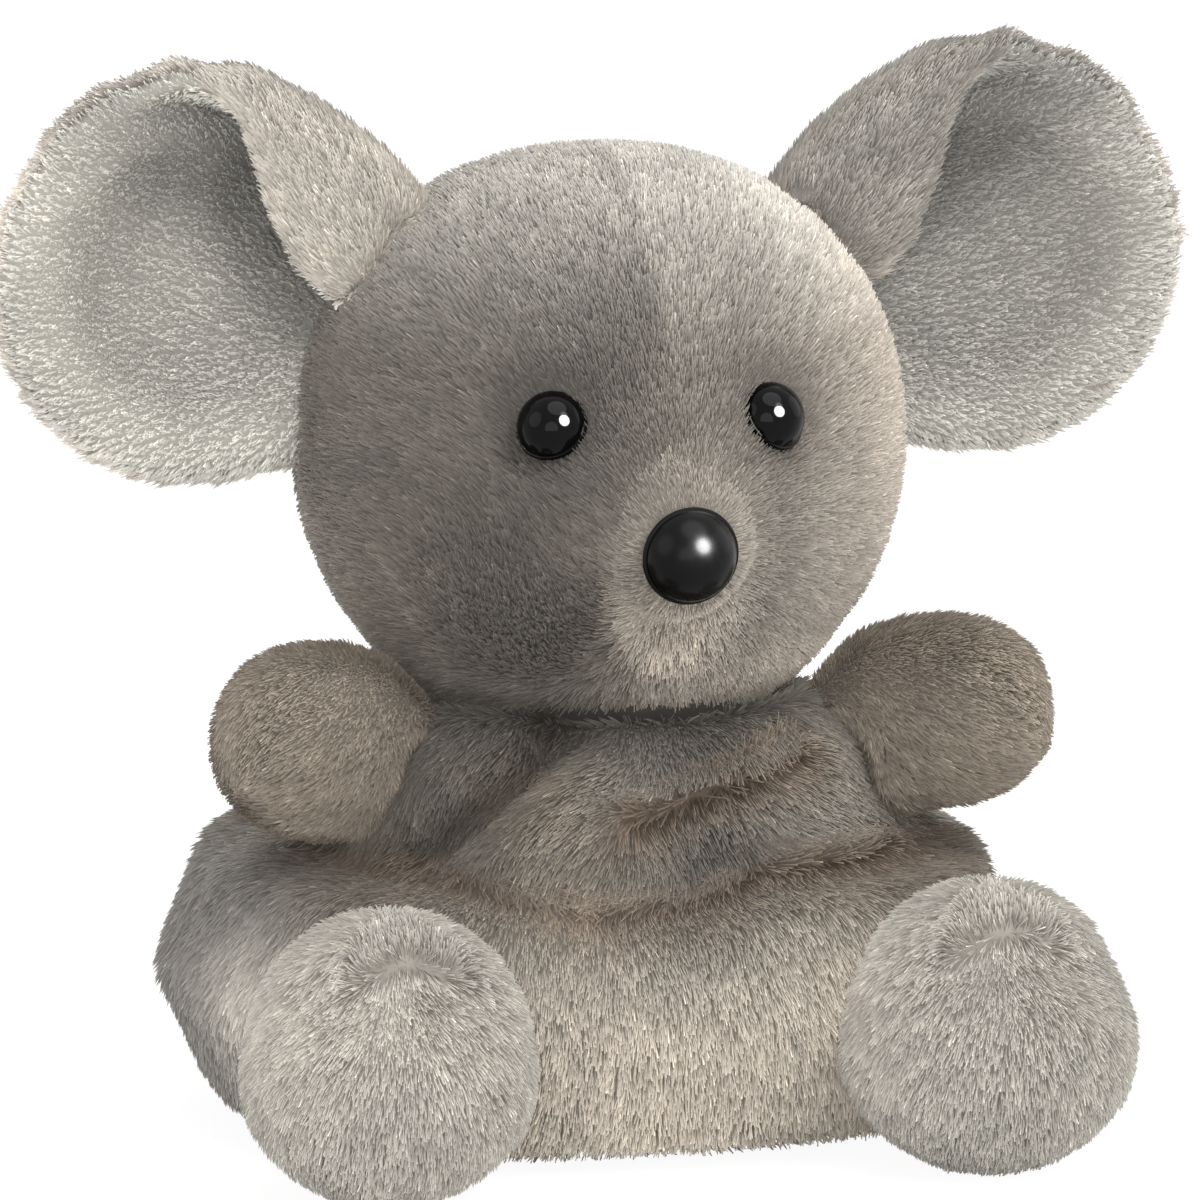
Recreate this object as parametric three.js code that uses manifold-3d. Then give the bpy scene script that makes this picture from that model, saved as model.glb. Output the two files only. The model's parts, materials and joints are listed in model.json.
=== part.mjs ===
// Plush mouse, sitting: a stuffed head with cupped ears, stub arms and ball feet on a bean-filled body.
// Millimetres, +Z up. The mouse faces -Y and its left side is +X. It sits on z = 0, and the origin
// lies on its base, straight below the middle of the head.
import * as THREE from 'three';
import { mergeVertices } from 'three/addons/utils/BufferGeometryUtils.js';
import Module from 'manifold-3d';

const wasm = await Module();
wasm.setup();

// Fabric and fits
const furSkin = 2.0; // long plush: backing and packed pile
const liningSkin = 1.6; // short plush inside the ears
const clearance = 0.3; // between pieces that touch
const headGap = 0.6; // under the head, where it rolls on the neck
const shoulderGap = 0.8; // between the head and the arms

// Head
const headWidth = 68;
const faceDepth = 27.5; // middle of the head to the face, muzzle apart
const headBackDepth = 31; // middle of the head to its back
const headHeight = 64.5;
const headCentreHeight = 75.5;
const headSquareness = 2.15;
const faceTaper = 0.1; // share of the width lost at the front of the face
const muzzleLength = 11.5;
const muzzleSpread = 9;
const muzzleDrop = 7.5; // nose below the middle of the head
const headSeamSetback = 4; // seam behind the face panels, where the ears are sewn in
const headTurn = 20; // left and right
const headNod = 10; // up and down

// Neck
const neckRadius = 13.5;
const neckRingWidth = 3.5;
const neckRingThickness = 1.2;

// Eyes and nose, with stems and locking washers
const eyeDiameter = 7.5;
const eyeDome = 3;
const eyeAzimuth = 28.5;
const eyeElevation = 10.5;
const noseDiameter = 10;
const noseDome = 4.2;
const rimThickness = 0.8;
const pileDepth = 1.2; // pile pressed flat under the eyes and the nose
const stemDiameter = 2.6;
const stemTail = 1; // stem beyond its washer
const washerThickness = 1.2;
const washerMargin = 0.6; // washer beyond the edge of the eye or the nose

// Ears
const earRadius = 22.8;
const earAngle = 22.5; // ear centre above the middle of the head, seen from the front
const earStandOff = 13.5; // ear centre out from the head
const earSetback = 3;
const earCup = 5;
const earFoldTilt = 33; // ridge of the fold above the horizontal
const earFoldDistance = 19.6; // ridge from the ear centre
const earFoldWidth = 18.5; // folded lip at the root
const earFoldRadius = 3.1;
const earRimCurl = 40; // turn of the rim where there is no lip
const earFoldEnd = 17; // where the lip runs out, along the ridge from the ear centre
const earRootLow = -6; // seam of the ear on the head, from here up
const earRootHigh = 46;
const earSwing = 15;

// Body: a low cushion with the chest set into it, which makes the crease across the front
const cushionWidth = 95;
const cushionDepth = 83;
const cushionHeight = 45;
const cushionCentreHeight = 16.8;
const cushionSetback = 4.5;
const cushionSquareness = 2.6;
const chestWidth = 60;
const chestDepth = 56;
const chestHeight = 36;
const chestCentreHeight = 36;
const chestSetback = -2;
const chestSquareness = 2.2;
const sideSeamSetback = 6;
const baseSeamHeight = 3.5;
const pouchWidth = 48;
const pouchDepth = 36;
const pouchHeight = 16;

// Arms
const armLength = 31;
const armHeight = 22.5;
const armThickness = 19;
const armTaper = 0.12;
const armSquareness = 2.2;
const armSink = 8.5; // root inside the line of the chest
const armForward = 30; // arm turned forward from straight sideways
const armRise = 8;
const shoulderForward = 12;
const shoulderRise = 17;
const armSwing = 15;

// Feet
const footWidth = 32;
const footLength = 33;
const footHeight = 33;
const footFlat = 0.7; // sole pressed flat on the ground
const footAzimuth = 38.5; // foot round the body from straight ahead
const footStandOff = 6.5; // foot centre out from the body
const footTurnOut = 20;
const pinchElevation = 38; // pinched seam above the horizontal
const pinchDepth = 2.6;
const pinchSpread = 42; // half width of the pinch along the seam, in degrees
const pinchWidth = 8; // across the seam
const footSwing = 8;

// Tail
const tailDiameter = 7;
const tailLength = 38;
const tailHeight = 6.5;
const tailBend = 105; // turn of the tail from root to tip
const tailTaper = 0.35; // share of the diameter lost at the tip
const tailSquareness = 2.8;
const tailSink = 4;
const tailSwing = 20;

const UP = new THREE.Vector3(0, 0, 1);
const SIDE = new THREE.Vector3(1, 0, 0);
const radians = THREE.MathUtils.degToRad;

// Closed geometry to solid, and back
function solid(geometry) {
  const bare = new THREE.BufferGeometry();
  bare.setAttribute('position', geometry.getAttribute('position'));
  bare.setIndex(geometry.getIndex());
  const merged = mergeVertices(bare, 1e-4);
  const vertProperties = merged.getAttribute('position').array;
  const triVerts = new Uint32Array(merged.getIndex().array);
  return new wasm.Manifold(new wasm.Mesh({ numProp: 3, vertProperties, triVerts }));
}

function geometryOf(made) {
  const { vertProperties, triVerts } = made.getMesh();
  const geometry = new THREE.BufferGeometry();
  geometry.setAttribute('position', new THREE.BufferAttribute(vertProperties, 3));
  geometry.setIndex(new THREE.BufferAttribute(triVerts, 1));
  geometry.computeVertexNormals();
  return geometry;
}

// Unit direction at an azimuth from straight ahead (towards +X) and an elevation, in degrees
function heading(azimuth, elevation) {
  const level = Math.cos(radians(elevation));
  const across = level * Math.sin(radians(azimuth));
  const ahead = level * Math.cos(radians(azimuth));
  return new THREE.Vector3(across, -ahead, Math.sin(radians(elevation)));
}

// A box that holds everything on the positive side of a plane
const farAway = 400;
function halfSpace(point, normal) {
  const box = new THREE.BoxGeometry(farAway, farAway, farAway);
  box.translate(0, 0, farAway / 2);
  box.applyQuaternion(new THREE.Quaternion().setFromUnitVectors(UP, normal.clone().normalize()));
  box.translate(point.x, point.y, point.z);
  return solid(box);
}

// Rotation of a geometry about a hinge
function hingeTurn(hinge, degrees) {
  const turn = new THREE.Matrix4().makeRotationAxis(hinge.axis, radians(degrees));
  const { x, y, z } = hinge.point;
  const there = new THREE.Matrix4().makeTranslation(x, y, z);
  const back = new THREE.Matrix4().makeTranslation(-x, -y, -z);
  return there.multiply(turn).multiply(back);
}

// A stuffed form: a rounded solid whose radii swell and taper, with rings of points between two poles.
// shape moves each point of the plain form, and place puts the form into the frame of the mouse.
class StuffedForm {
  constructor({ radii, squareness = 2, shape = (point) => point, place, segments, rings }) {
    this.radii = radii;
    this.squareness = squareness;
    this.shape = shape;
    this.place = place;
    this.segments = segments;
    this.rings = rings;
  }

  pointAt(direction, grow = 0) {
    const share = (along, radius) => Math.abs(along / (radius + grow)) ** this.squareness;
    const { x, y, z } = this.radii;
    const sum = share(direction.x, x) + share(direction.y, y) + share(direction.z, z);
    const point = direction.clone().multiplyScalar(sum ** (-1 / this.squareness));
    return this.shape(point, direction).applyMatrix4(this.place);
  }

  geometry(grow = 0, detail = 1) {
    const segments = Math.round(this.segments * detail);
    const rings = Math.round(this.rings * detail);
    const points = [this.pointAt(heading(0, -90), grow)];
    for (let ring = 1; ring < rings; ring++) {
      for (let step = 0; step < segments; step++) {
        const direction = heading((360 * step) / segments, (180 * ring) / rings - 90);
        points.push(this.pointAt(direction, grow));
      }
    }
    points.push(this.pointAt(heading(0, 90), grow));
    const at = (ring, step) => 1 + (ring - 1) * segments + (step % segments);
    const faces = [];
    for (let step = 0; step < segments; step++) {
      faces.push(0, at(1, step + 1), at(1, step));
      for (let ring = 1; ring < rings - 1; ring++) {
        faces.push(at(ring, step), at(ring, step + 1), at(ring + 1, step + 1));
        faces.push(at(ring, step), at(ring + 1, step + 1), at(ring + 1, step));
      }
      faces.push(points.length - 1, at(rings - 1, step), at(rings - 1, step + 1));
    }
    const geometry = new THREE.BufferGeometry().setFromPoints(points);
    geometry.setIndex(faces);
    return geometry;
  }

  solid(grow = 0, detail = 1) {
    return solid(this.geometry(grow, detail));
  }
}

// Both ends and the middle of a swing
const swingSteps = [-1, 0, 1];

// Takes from a limb what its neighbour, a closed geometry, would meet while the limb swings
function clearOf(limb, neighbour, hinge, swing) {
  return swingSteps.reduce((left, step) => {
    const passed = neighbour.clone().applyMatrix4(hingeTurn(hinge, step * swing));
    return left.subtract(solid(passed));
  }, limb);
}

function translation(x, y, z) {
  return new THREE.Matrix4().makeTranslation(x, y, z);
}

// Forms of the head and the body
const headForm = new StuffedForm({
  radii: new THREE.Vector3(headWidth / 2, faceDepth, headHeight / 2),
  squareness: headSquareness,
  shape(point, direction) {
    const ahead = Math.max(0, -direction.y);
    point.x *= 1 - faceTaper * ahead ** 2;
    const fromNose = point.x ** 2 + (point.z + muzzleDrop) ** 2;
    if (ahead > 0) point.y -= muzzleLength * Math.exp(-fromNose / (2 * muzzleSpread ** 2));
    else point.y *= headBackDepth / faceDepth;
    return point;
  },
  place: translation(0, 0, headCentreHeight),
  segments: 24,
  rings: 12,
});

const cushionForm = new StuffedForm({
  radii: new THREE.Vector3(cushionWidth / 2, cushionDepth / 2, cushionHeight / 2),
  squareness: cushionSquareness,
  place: translation(0, cushionSetback, cushionCentreHeight),
  segments: 24,
  rings: 10,
});

const chestForm = new StuffedForm({
  radii: new THREE.Vector3(chestWidth / 2, chestDepth / 2, chestHeight / 2),
  squareness: chestSquareness,
  place: translation(0, chestSetback, chestCentreHeight),
  segments: 24,
  rings: 10,
});

// Room that the head needs, with a gap round it, when it turns and nods
const headCentre = new THREE.Vector3(0, 0, headCentreHeight);
const turnHinge = { point: headCentre, axis: UP };
const nodHinge = { point: headCentre, axis: SIDE };
function headSweep(gap) {
  const rooms = [];
  for (const turn of swingSteps) {
    for (const nod of swingSteps) {
      const head = headForm.geometry(gap).applyMatrix4(hingeTurn(nodHinge, nod * headNod));
      rooms.push(solid(head.applyMatrix4(hingeTurn(turnHinge, turn * headTurn))));
    }
  }
  return rooms.reduce((joined, room) => joined.add(room));
}

// Colours
function cloth(color) {
  return new THREE.MeshStandardMaterial({ color, roughness: 0.95, metalness: 0 });
}
const headFur = () => cloth('#96918b');
const bodyFur = () => cloth('#a8a49c');
const footFur = () => cloth('#bdb9b0');
const liningFur = () => cloth('#adaaa4');
const fibre = () => cloth('#f2f2ee');
const pelletCloth = () => cloth('#e6e4de');
const threadCloth = () => cloth('#6d6862');
function plastic(color, roughness) {
  return new THREE.MeshStandardMaterial({ color, roughness, metalness: 0 });
}
const glossBlack = () => plastic('#0c0b0b', 0.08);
const satinBlack = () => plastic('#161514', 0.35);
const washerPlastic = () => plastic('#e8e8e4', 0.5);

const mouse = new THREE.Group();
mouse.name = 'plush_mouse';

function add(name, geometry, material) {
  const mesh = new THREE.Mesh(geometry, material);
  mesh.name = name;
  mouse.add(mesh);
  return mesh;
}

// A piece of the left side and its mirror image on the right
function addPair(leftName, geometry, material) {
  add(leftName, geometry, material());
  const right = add(leftName.replace('left', 'right'), geometry, material());
  right.scale.x = -1;
}

// Eye or nose: a dome with a thin rim and a stem. Its axis is +Y, and the back of its rim is at the origin.
const buttonSegments = 14;
const domeSteps = 4;
function buttonGeometry(diameter, dome, stemLength, grow = 0) {
  const radius = diameter / 2 + grow;
  const stem = stemDiameter / 2 + grow;
  const stemEnd = -stemLength - grow;
  const outline = [[0, stemEnd], [stem, stemEnd], [stem, -grow], [radius, -grow]];
  for (let step = 0; step <= domeSteps; step++) {
    const angle = (Math.PI / 2) * (step / domeSteps);
    const height = rimThickness + (dome - rimThickness) * Math.sin(angle);
    outline.push([step < domeSteps ? radius * Math.cos(angle) : 0, height + grow]);
  }
  return turned(outline);
}

// Locking washer with a hub. Its flat face, against the skin, is at the origin.
function washerGeometry(diameter) {
  const bore = stemDiameter / 2 + clearance;
  const hub = bore + washerThickness;
  const radius = diameter / 2 + washerMargin;
  const outline = [[bore, 0], [bore, -2 * washerThickness], [hub, -2 * washerThickness]];
  outline.push([hub, -washerThickness], [radius, -washerThickness], [radius, 0], [bore, 0]);
  return turned(outline);
}

// Room in the stuffing for a washer
function washerRoom(diameter) {
  const radius = diameter / 2 + washerMargin + clearance;
  const depth = -2 * washerThickness - clearance;
  return turned([[0, depth], [radius, depth], [radius, furSkin], [0, furSkin]]);
}

function turned(outline) {
  const points = outline.map(([across, along]) => new THREE.Vector2(across, along));
  return new THREE.LatheGeometry(points, buttonSegments);
}

// Depth of a washer below the button's rim: its edge meets the inside of the skin first, which is hollower
// than the outside
function washerDepth(direction, place, diameter) {
  const reach = diameter / 2 + washerMargin + furSkin;
  const local = place.clone().invert();
  const step = 0.01;
  const drops = [SIDE, UP, UP.clone().negate()].map((sway) => {
    const aim = direction.clone();
    const edge = new THREE.Vector3();
    while (Math.hypot(edge.x, edge.z) < reach) {
      aim.addScaledVector(sway, step).normalize();
      edge.copy(headForm.pointAt(aim)).applyMatrix4(local);
    }
    return pileDepth - clearance - edge.y;
  });
  return furSkin - pileDepth + 2 * clearance + Math.max(...drops);
}

// A place on the head for an eye or the nose, square to the surface and sunk into the pile
function buttonPlace(direction) {
  const nearby = 0.02;
  const surface = headForm.pointAt(direction);
  const across = headForm.pointAt(direction.clone().addScaledVector(SIDE, nearby).normalize());
  const above = headForm.pointAt(direction.clone().addScaledVector(UP, nearby).normalize());
  const outward = across.sub(surface).cross(above.sub(surface)).normalize();
  const turn = new THREE.Quaternion().setFromUnitVectors(new THREE.Vector3(0, 1, 0), outward);
  const origin = surface.addScaledVector(outward, clearance - pileDepth);
  return new THREE.Matrix4().compose(origin, turn, new THREE.Vector3(1, 1, 1));
}

function mirrored(geometry) {
  const other = geometry.clone().applyMatrix4(new THREE.Matrix4().makeScale(-1, 1, 1));
  const faces = other.getIndex().array;
  for (let face = 0; face < faces.length; face += 3) {
    [faces[face + 1], faces[face + 2]] = [faces[face + 2], faces[face + 1]];
  }
  return other;
}

// Eyes and nose, and what they take from the skin and from the stuffing
const eyeAim = heading(eyeAzimuth, eyeElevation);
const noseAim = new THREE.Vector3(0, -faceDepth, -muzzleDrop).normalize();
const buttons = [
  { name: 'eye_left', aim: eyeAim, diameter: eyeDiameter, dome: eyeDome, material: glossBlack },
  { name: 'nose', aim: noseAim, diameter: noseDiameter, dome: noseDome, material: satinBlack },
];
const skinHoles = [];
const stuffingHoles = [];
for (const { name, aim, diameter, dome, material } of buttons) {
  const place = buttonPlace(aim);
  const depth = washerDepth(aim, place, diameter);
  const stemLength = depth + 2 * washerThickness + stemTail;
  const behind = place.clone().multiply(translation(0, -depth, 0));
  const button = buttonGeometry(diameter, dome, stemLength).applyMatrix4(place);
  const washer = washerGeometry(diameter).applyMatrix4(behind);
  const hole = buttonGeometry(diameter, dome, stemLength, clearance).applyMatrix4(place);
  const pocket = washerRoom(diameter).applyMatrix4(behind);
  skinHoles.push(solid(hole));
  stuffingHoles.push(solid(hole), solid(pocket));
  if (name.includes('left')) {
    skinHoles.push(solid(mirrored(hole)));
    stuffingHoles.push(solid(mirrored(hole)), solid(mirrored(pocket)));
    addPair(name, button, material);
    addPair(`${name}_washer`, washer, washerPlastic);
  } else {
    add(name, button, material());
    add(`${name}_washer`, washer, washerPlastic());
  }
}

function without(made, cuts) {
  return cuts.reduce((left, cut) => left.subtract(cut), made);
}

// Half spaces on either side of a seam, which keep the seam's gap
function seamSides(point, normal) {
  const gap = normal.clone().normalize().multiplyScalar(clearance / 2);
  const before = halfSpace(point.clone().sub(gap), normal.clone().negate());
  const after = halfSpace(point.clone().add(gap), normal);
  return { before, after };
}

// Neck: a ring of hem and closing stitches that the underside of the head rests on
const neckSegments = 20;
function undersideHeight(radius) {
  const share = (2 * radius / headWidth) ** headSquareness;
  return headCentreHeight - (headHeight / 2) * (1 - share) ** (1 / headSquareness);
}
function neckRingGeometry(grow = 0) {
  const inner = neckRadius + clearance;
  const outer = inner + neckRingWidth;
  const top = (radius) => undersideHeight(radius) - clearance + grow;
  const bottom = (radius) => undersideHeight(radius) - clearance - neckRingThickness - grow;
  const outline = [[inner - grow, top(inner)], [inner - grow, bottom(inner)]];
  outline.push([outer + grow, bottom(outer)], [outer + grow, top(outer)], [inner - grow, top(inner)]);
  const points = outline.map(([across, height]) => new THREE.Vector2(across, height));
  return new THREE.LatheGeometry(points, neckSegments).rotateX(Math.PI / 2);
}
add('neck_ring', neckRingGeometry(), threadCloth());
const neckOpening = new THREE.CylinderGeometry(neckRadius, neckRadius, headHeight, neckSegments);
neckOpening.rotateX(Math.PI / 2).translate(0, 0, headCentreHeight - headHeight / 2);

// Stuffing lies just inside the skin, in rounder, plainer lumps
const fillDepth = furSkin + clearance;
const fillDetail = 0.5;
const headFillDepth = fillDepth + 0.5; // looser behind the muzzle
const neckHollow = 4; // stuffing pressed down under the head

// Head: two face panels that meet on the centre seam, a back panel and the stuffing
const headSkin = without(headForm.solid(), [headForm.solid(-furSkin), solid(neckOpening), ...skinHoles]);
const centreSeam = seamSides(new THREE.Vector3(), SIDE);
const earSeam = seamSides(new THREE.Vector3(0, headSeamSetback, 0), new THREE.Vector3(0, 1, 0));
const facePanel = headSkin.intersect(centreSeam.after).intersect(earSeam.before);
addPair('head_left_panel', geometryOf(facePanel), headFur);
add('head_back_panel', geometryOf(headSkin.intersect(earSeam.after)), headFur());
const headFill = headForm.solid(-headFillDepth, fillDetail);
add('head_stuffing', geometryOf(without(headFill, stuffingHoles)), fibre());

// Body: chest and belly panels in front, one back panel, a base panel, stuffing and a pouch of pellets
const floor = halfSpace(new THREE.Vector3(), UP);
const headRoom = headSweep(headGap);
const neckRoom = solid(neckRingGeometry(clearance));
const cushionSkin = cushionForm.solid().intersect(floor).subtract(
  cushionForm.solid(-furSkin).intersect(halfSpace(new THREE.Vector3(0, 0, furSkin), UP)),
);
const bodyInside = cushionForm.solid(-furSkin).add(chestForm.solid(-furSkin));
const bodySkin = cushionForm.solid().add(chestForm.solid()).subtract(bodyInside);
const baseSeam = seamSides(new THREE.Vector3(0, 0, baseSeamHeight), UP);
const sideSeam = seamSides(new THREE.Vector3(0, sideSeamSetback, 0), new THREE.Vector3(0, 1, 0));
const front = sideSeam.before;
const bellyPanel = cushionSkin.intersect(baseSeam.after).intersect(front);
const chestPanel = chestForm.solid().subtract(chestForm.solid(-furSkin)).intersect(front);
const backPanel = bodySkin.intersect(baseSeam.after).intersect(sideSeam.after);
add('belly_panel', geometryOf(bellyPanel.subtract(chestForm.solid(clearance))), bodyFur());
const chestCuts = [cushionForm.solid(clearance), headRoom, neckRoom];
add('chest_panel', geometryOf(without(chestPanel, chestCuts)), bodyFur());
add('back_panel', geometryOf(without(backPanel, [headRoom, neckRoom])), bodyFur());
add('base_panel', geometryOf(cushionSkin.intersect(baseSeam.before)), bodyFur());

const aboveBase = halfSpace(new THREE.Vector3(0, 0, fillDepth), UP);
const pouchForm = new StuffedForm({
  radii: new THREE.Vector3(pouchWidth / 2, pouchDepth / 2, pouchHeight),
  squareness: cushionSquareness,
  place: translation(0, cushionSetback, fillDepth),
  segments: 16,
  rings: 8,
});
const bodyFill = cushionForm.solid(-fillDepth, fillDetail).add(chestForm.solid(-fillDepth, fillDetail));
const stuffingCuts = [pouchForm.solid(clearance), headForm.solid(neckHollow, fillDetail)];
const bodyStuffing = without(bodyFill.intersect(aboveBase), stuffingCuts);
add('body_stuffing', geometryOf(bodyStuffing), fibre());
add('bean_pouch', geometryOf(pouchForm.solid().intersect(aboveBase)), pelletCloth());

// A limb's two panels, which meet on a seam plane, and its stuffing
function addLimb(names, form, seam, trim, material) {
  const skin = trim(form.solid().subtract(form.solid(-furSkin)));
  addPair(names[0], geometryOf(skin.intersect(seam.before)), material);
  addPair(names[1], geometryOf(skin.intersect(seam.after)), material);
  addPair(names[2], geometryOf(trim(form.solid(-fillDepth, fillDetail))), fibre);
}

// Arms: flattened and fuller towards the paw, pointing forward and outward from the shoulder
const shoulder = chestForm.pointAt(heading(90 - shoulderForward, shoulderRise));
const armAlong = heading(90 - armForward, armRise);
const armFront = armAlong.clone().cross(UP).normalize().negate();
const armUp = armFront.clone().cross(armAlong);
const armCentre = shoulder.clone().addScaledVector(armAlong, armLength / 2 - armSink);
const armForm = new StuffedForm({
  radii: new THREE.Vector3(armHeight / 2, armThickness / 2, armLength / 2),
  squareness: armSquareness,
  shape(point) {
    const swell = 1 + armTaper * (point.z / (armLength / 2));
    point.x *= swell;
    point.y *= swell;
    return point;
  },
  place: new THREE.Matrix4().makeBasis(armUp, armAlong.clone().cross(armUp), armAlong).setPosition(armCentre),
  segments: 12,
  rings: 8,
});
const armHinge = { point: shoulder, axis: UP };
const armHeadRoom = geometryOf(headSweep(shoulderGap));
function trimArm(arm) {
  const offChest = clearOf(arm, chestForm.geometry(clearance), armHinge, armSwing);
  const offCushion = clearOf(offChest, cushionForm.geometry(clearance), armHinge, armSwing);
  return clearOf(offCushion, armHeadRoom, armHinge, armSwing);
}
const armSeam = seamSides(armCentre, armFront);
addLimb(['arm_left_back', 'arm_left_palm', 'arm_left_stuffing'], armForm, armSeam, trimArm, bodyFur);

// Feet: balls set into the front corners of the body, pinched along the seam over the instep
const footRoot = cushionForm.pointAt(heading(footAzimuth, 0));
footRoot.z = footHeight / 2 - footFlat;
const footOutward = heading(footAzimuth, 0);
const footCentre = footRoot.clone().addScaledVector(footOutward, footStandOff);
const footTurn = new THREE.Matrix4().makeRotationZ(radians(footTurnOut));
const footTilt = new THREE.Matrix4().makeRotationX(radians(-pinchElevation));
const footForm = new StuffedForm({
  radii: new THREE.Vector3(footWidth / 2, footLength / 2, footHeight / 2),
  shape(point, direction) {
    const azimuth = THREE.MathUtils.radToDeg(Math.atan2(direction.x, -direction.y));
    const elevation = THREE.MathUtils.radToDeg(Math.asin(direction.z));
    const pinch = Math.exp(-((azimuth / pinchSpread) ** 2) - (elevation / pinchWidth) ** 2);
    return point.multiplyScalar(1 - (pinch * pinchDepth) / (footLength / 2));
  },
  place: footTurn.clone().multiply(footTilt).setPosition(footCentre),
  segments: 16,
  rings: 8,
});
const footHinge = { point: footRoot, axis: footOutward.clone().cross(UP).normalize() };
const footRoom = cushionForm.geometry(clearance);
const trimFoot = (foot) => clearOf(foot.intersect(floor), footRoom, footHinge, footSwing);
const footSeamNormal = UP.clone().transformDirection(footForm.place);
const footSeam = seamSides(footCentre, footSeamNormal);
addLimb(['foot_left_sole', 'foot_left_instep', 'foot_left_stuffing'], footForm, footSeam, trimFoot, footFur);

// Ears: a cupped disc of two fabrics whose upper inner edge is folded forward as a lip.
// Each section across the ridge of the fold runs from the edge of the lip, round the bend, to the far rim.
const earColumns = 9;
const lipRows = 3;
const bendRows = 4;
const bladeRows = 6;
const earFirstAngle = -82; // first and last section, round the disc
const earLastAngle = 78;
const rimThinning = 0.55; // thickness left at the edge of the ear
const earOutward = new THREE.Vector3(Math.cos(radians(earAngle)), 0, Math.sin(radians(earAngle)));
const earCentre = headForm.pointAt(earOutward).addScaledVector(earOutward, earStandOff);
earCentre.y += earSetback;
const ridgeAlong = new THREE.Vector3(Math.cos(radians(earFoldTilt)), 0, Math.sin(radians(earFoldTilt)));
const ridgeAcross = new THREE.Vector3(Math.sin(radians(earFoldTilt)), 0, -Math.cos(radians(earFoldTilt)));

// Middle of the ear's thickness: across the ridge and forward, at a place along the ridge
function earSection(along) {
  const chord = Math.sqrt(Math.max(0, earRadius ** 2 - along ** 2));
  const ridge = -Math.min(earFoldDistance, along > 0 ? chord : earFoldDistance);
  const runOut = (earFoldEnd - along) / (earFoldEnd + earFoldDistance);
  const lip = earFoldWidth * THREE.MathUtils.clamp(runOut, 0, 1);
  const bend = THREE.MathUtils.lerp(radians(earRimCurl), Math.PI, Math.min(1, lip / (2 * earFoldRadius)));
  const bladeStart = ridge + earFoldRadius;
  const cup = (across) => -earCup * (1 - (along ** 2 + across ** 2) / earRadius ** 2);
  const around = (angle) => new THREE.Vector2(
    bladeStart - earFoldRadius * Math.sin(angle),
    cup(bladeStart) + earFoldRadius * (1 - Math.cos(angle)),
  );
  const points = [];
  const lipLength = Math.max(furSkin, lip - earFoldRadius);
  const lipOutward = new THREE.Vector2(-Math.cos(bend), Math.sin(bend));
  for (let row = 0; row < lipRows; row++) {
    points.push(around(bend).addScaledVector(lipOutward, lipLength * (1 - row / lipRows)));
  }
  for (let row = 0; row < bendRows; row++) points.push(around(bend * (1 - row / bendRows)));
  for (let row = 0; row <= bladeRows; row++) {
    const across = THREE.MathUtils.lerp(bladeStart, Math.max(chord, bladeStart + 1), row / bladeRows);
    points.push(new THREE.Vector2(across, cup(across)));
  }
  return points;
}

// Places along the ridge, from inside the head to the top of the ear, closer where the outline turns
const earSections = [];
for (let column = 0; column < earColumns; column++) {
  const angle = THREE.MathUtils.lerp(earFirstAngle, earLastAngle, column / (earColumns - 1));
  const along = earRadius * Math.sin(radians(angle));
  const place = earCentre.clone().addScaledVector(ridgeAlong, along);
  earSections.push(earSection(along).map((point) => {
    const middle = place.clone().addScaledVector(ridgeAcross, point.x);
    middle.y -= point.y;
    return middle;
  }));
}

// Direction out of the back of the ear at a place on its middle surface
function earNormal(column, row) {
  const at = (c, r) => earSections[THREE.MathUtils.clamp(c, 0, earSections.length - 1)][
    THREE.MathUtils.clamp(r, 0, earSections[0].length - 1)
  ];
  const along = at(column + 1, row).clone().sub(at(column - 1, row));
  const across = at(column, row + 1).clone().sub(at(column, row - 1));
  return along.cross(across).normalize();
}

// One fabric of the ear, between two distances from its middle surface
function earLayer(low, high) {
  const rows = earSections[0].length;
  const points = [];
  for (const offset of [low, high]) {
    earSections.forEach((section, column) => section.forEach((middle, row) => {
      const atRim = row === 0 || row === rows - 1 || column === earColumns - 1;
      const thin = atRim && Math.abs(offset) > clearance ? rimThinning : 1;
      points.push(middle.clone().addScaledVector(earNormal(column, row), offset * thin));
    }));
  }
  const at = (side, column, row) => side * earColumns * rows + column * rows + row;
  const faces = [];
  const quad = (a, b, c, d) => faces.push(a, c, b, a, d, c);
  for (let column = 0; column < earColumns - 1; column++) {
    for (let row = 0; row < rows - 1; row++) {
      quad(at(1, column, row), at(1, column, row + 1), at(1, column + 1, row + 1), at(1, column + 1, row));
      quad(at(0, column, row), at(0, column + 1, row), at(0, column + 1, row + 1), at(0, column, row + 1));
    }
    quad(at(0, column, 0), at(1, column, 0), at(1, column + 1, 0), at(0, column + 1, 0));
    const last = rows - 1;
    quad(at(0, column, last), at(0, column + 1, last), at(1, column + 1, last), at(1, column, last));
  }
  for (let row = 0; row < rows - 1; row++) {
    const end = earColumns - 1;
    quad(at(0, 0, row), at(0, 0, row + 1), at(1, 0, row + 1), at(1, 0, row));
    quad(at(0, end, row), at(1, end, row), at(1, end, row + 1), at(0, end, row + 1));
  }
  const geometry = new THREE.BufferGeometry().setFromPoints(points);
  geometry.setIndex(faces);
  return geometry;
}

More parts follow.
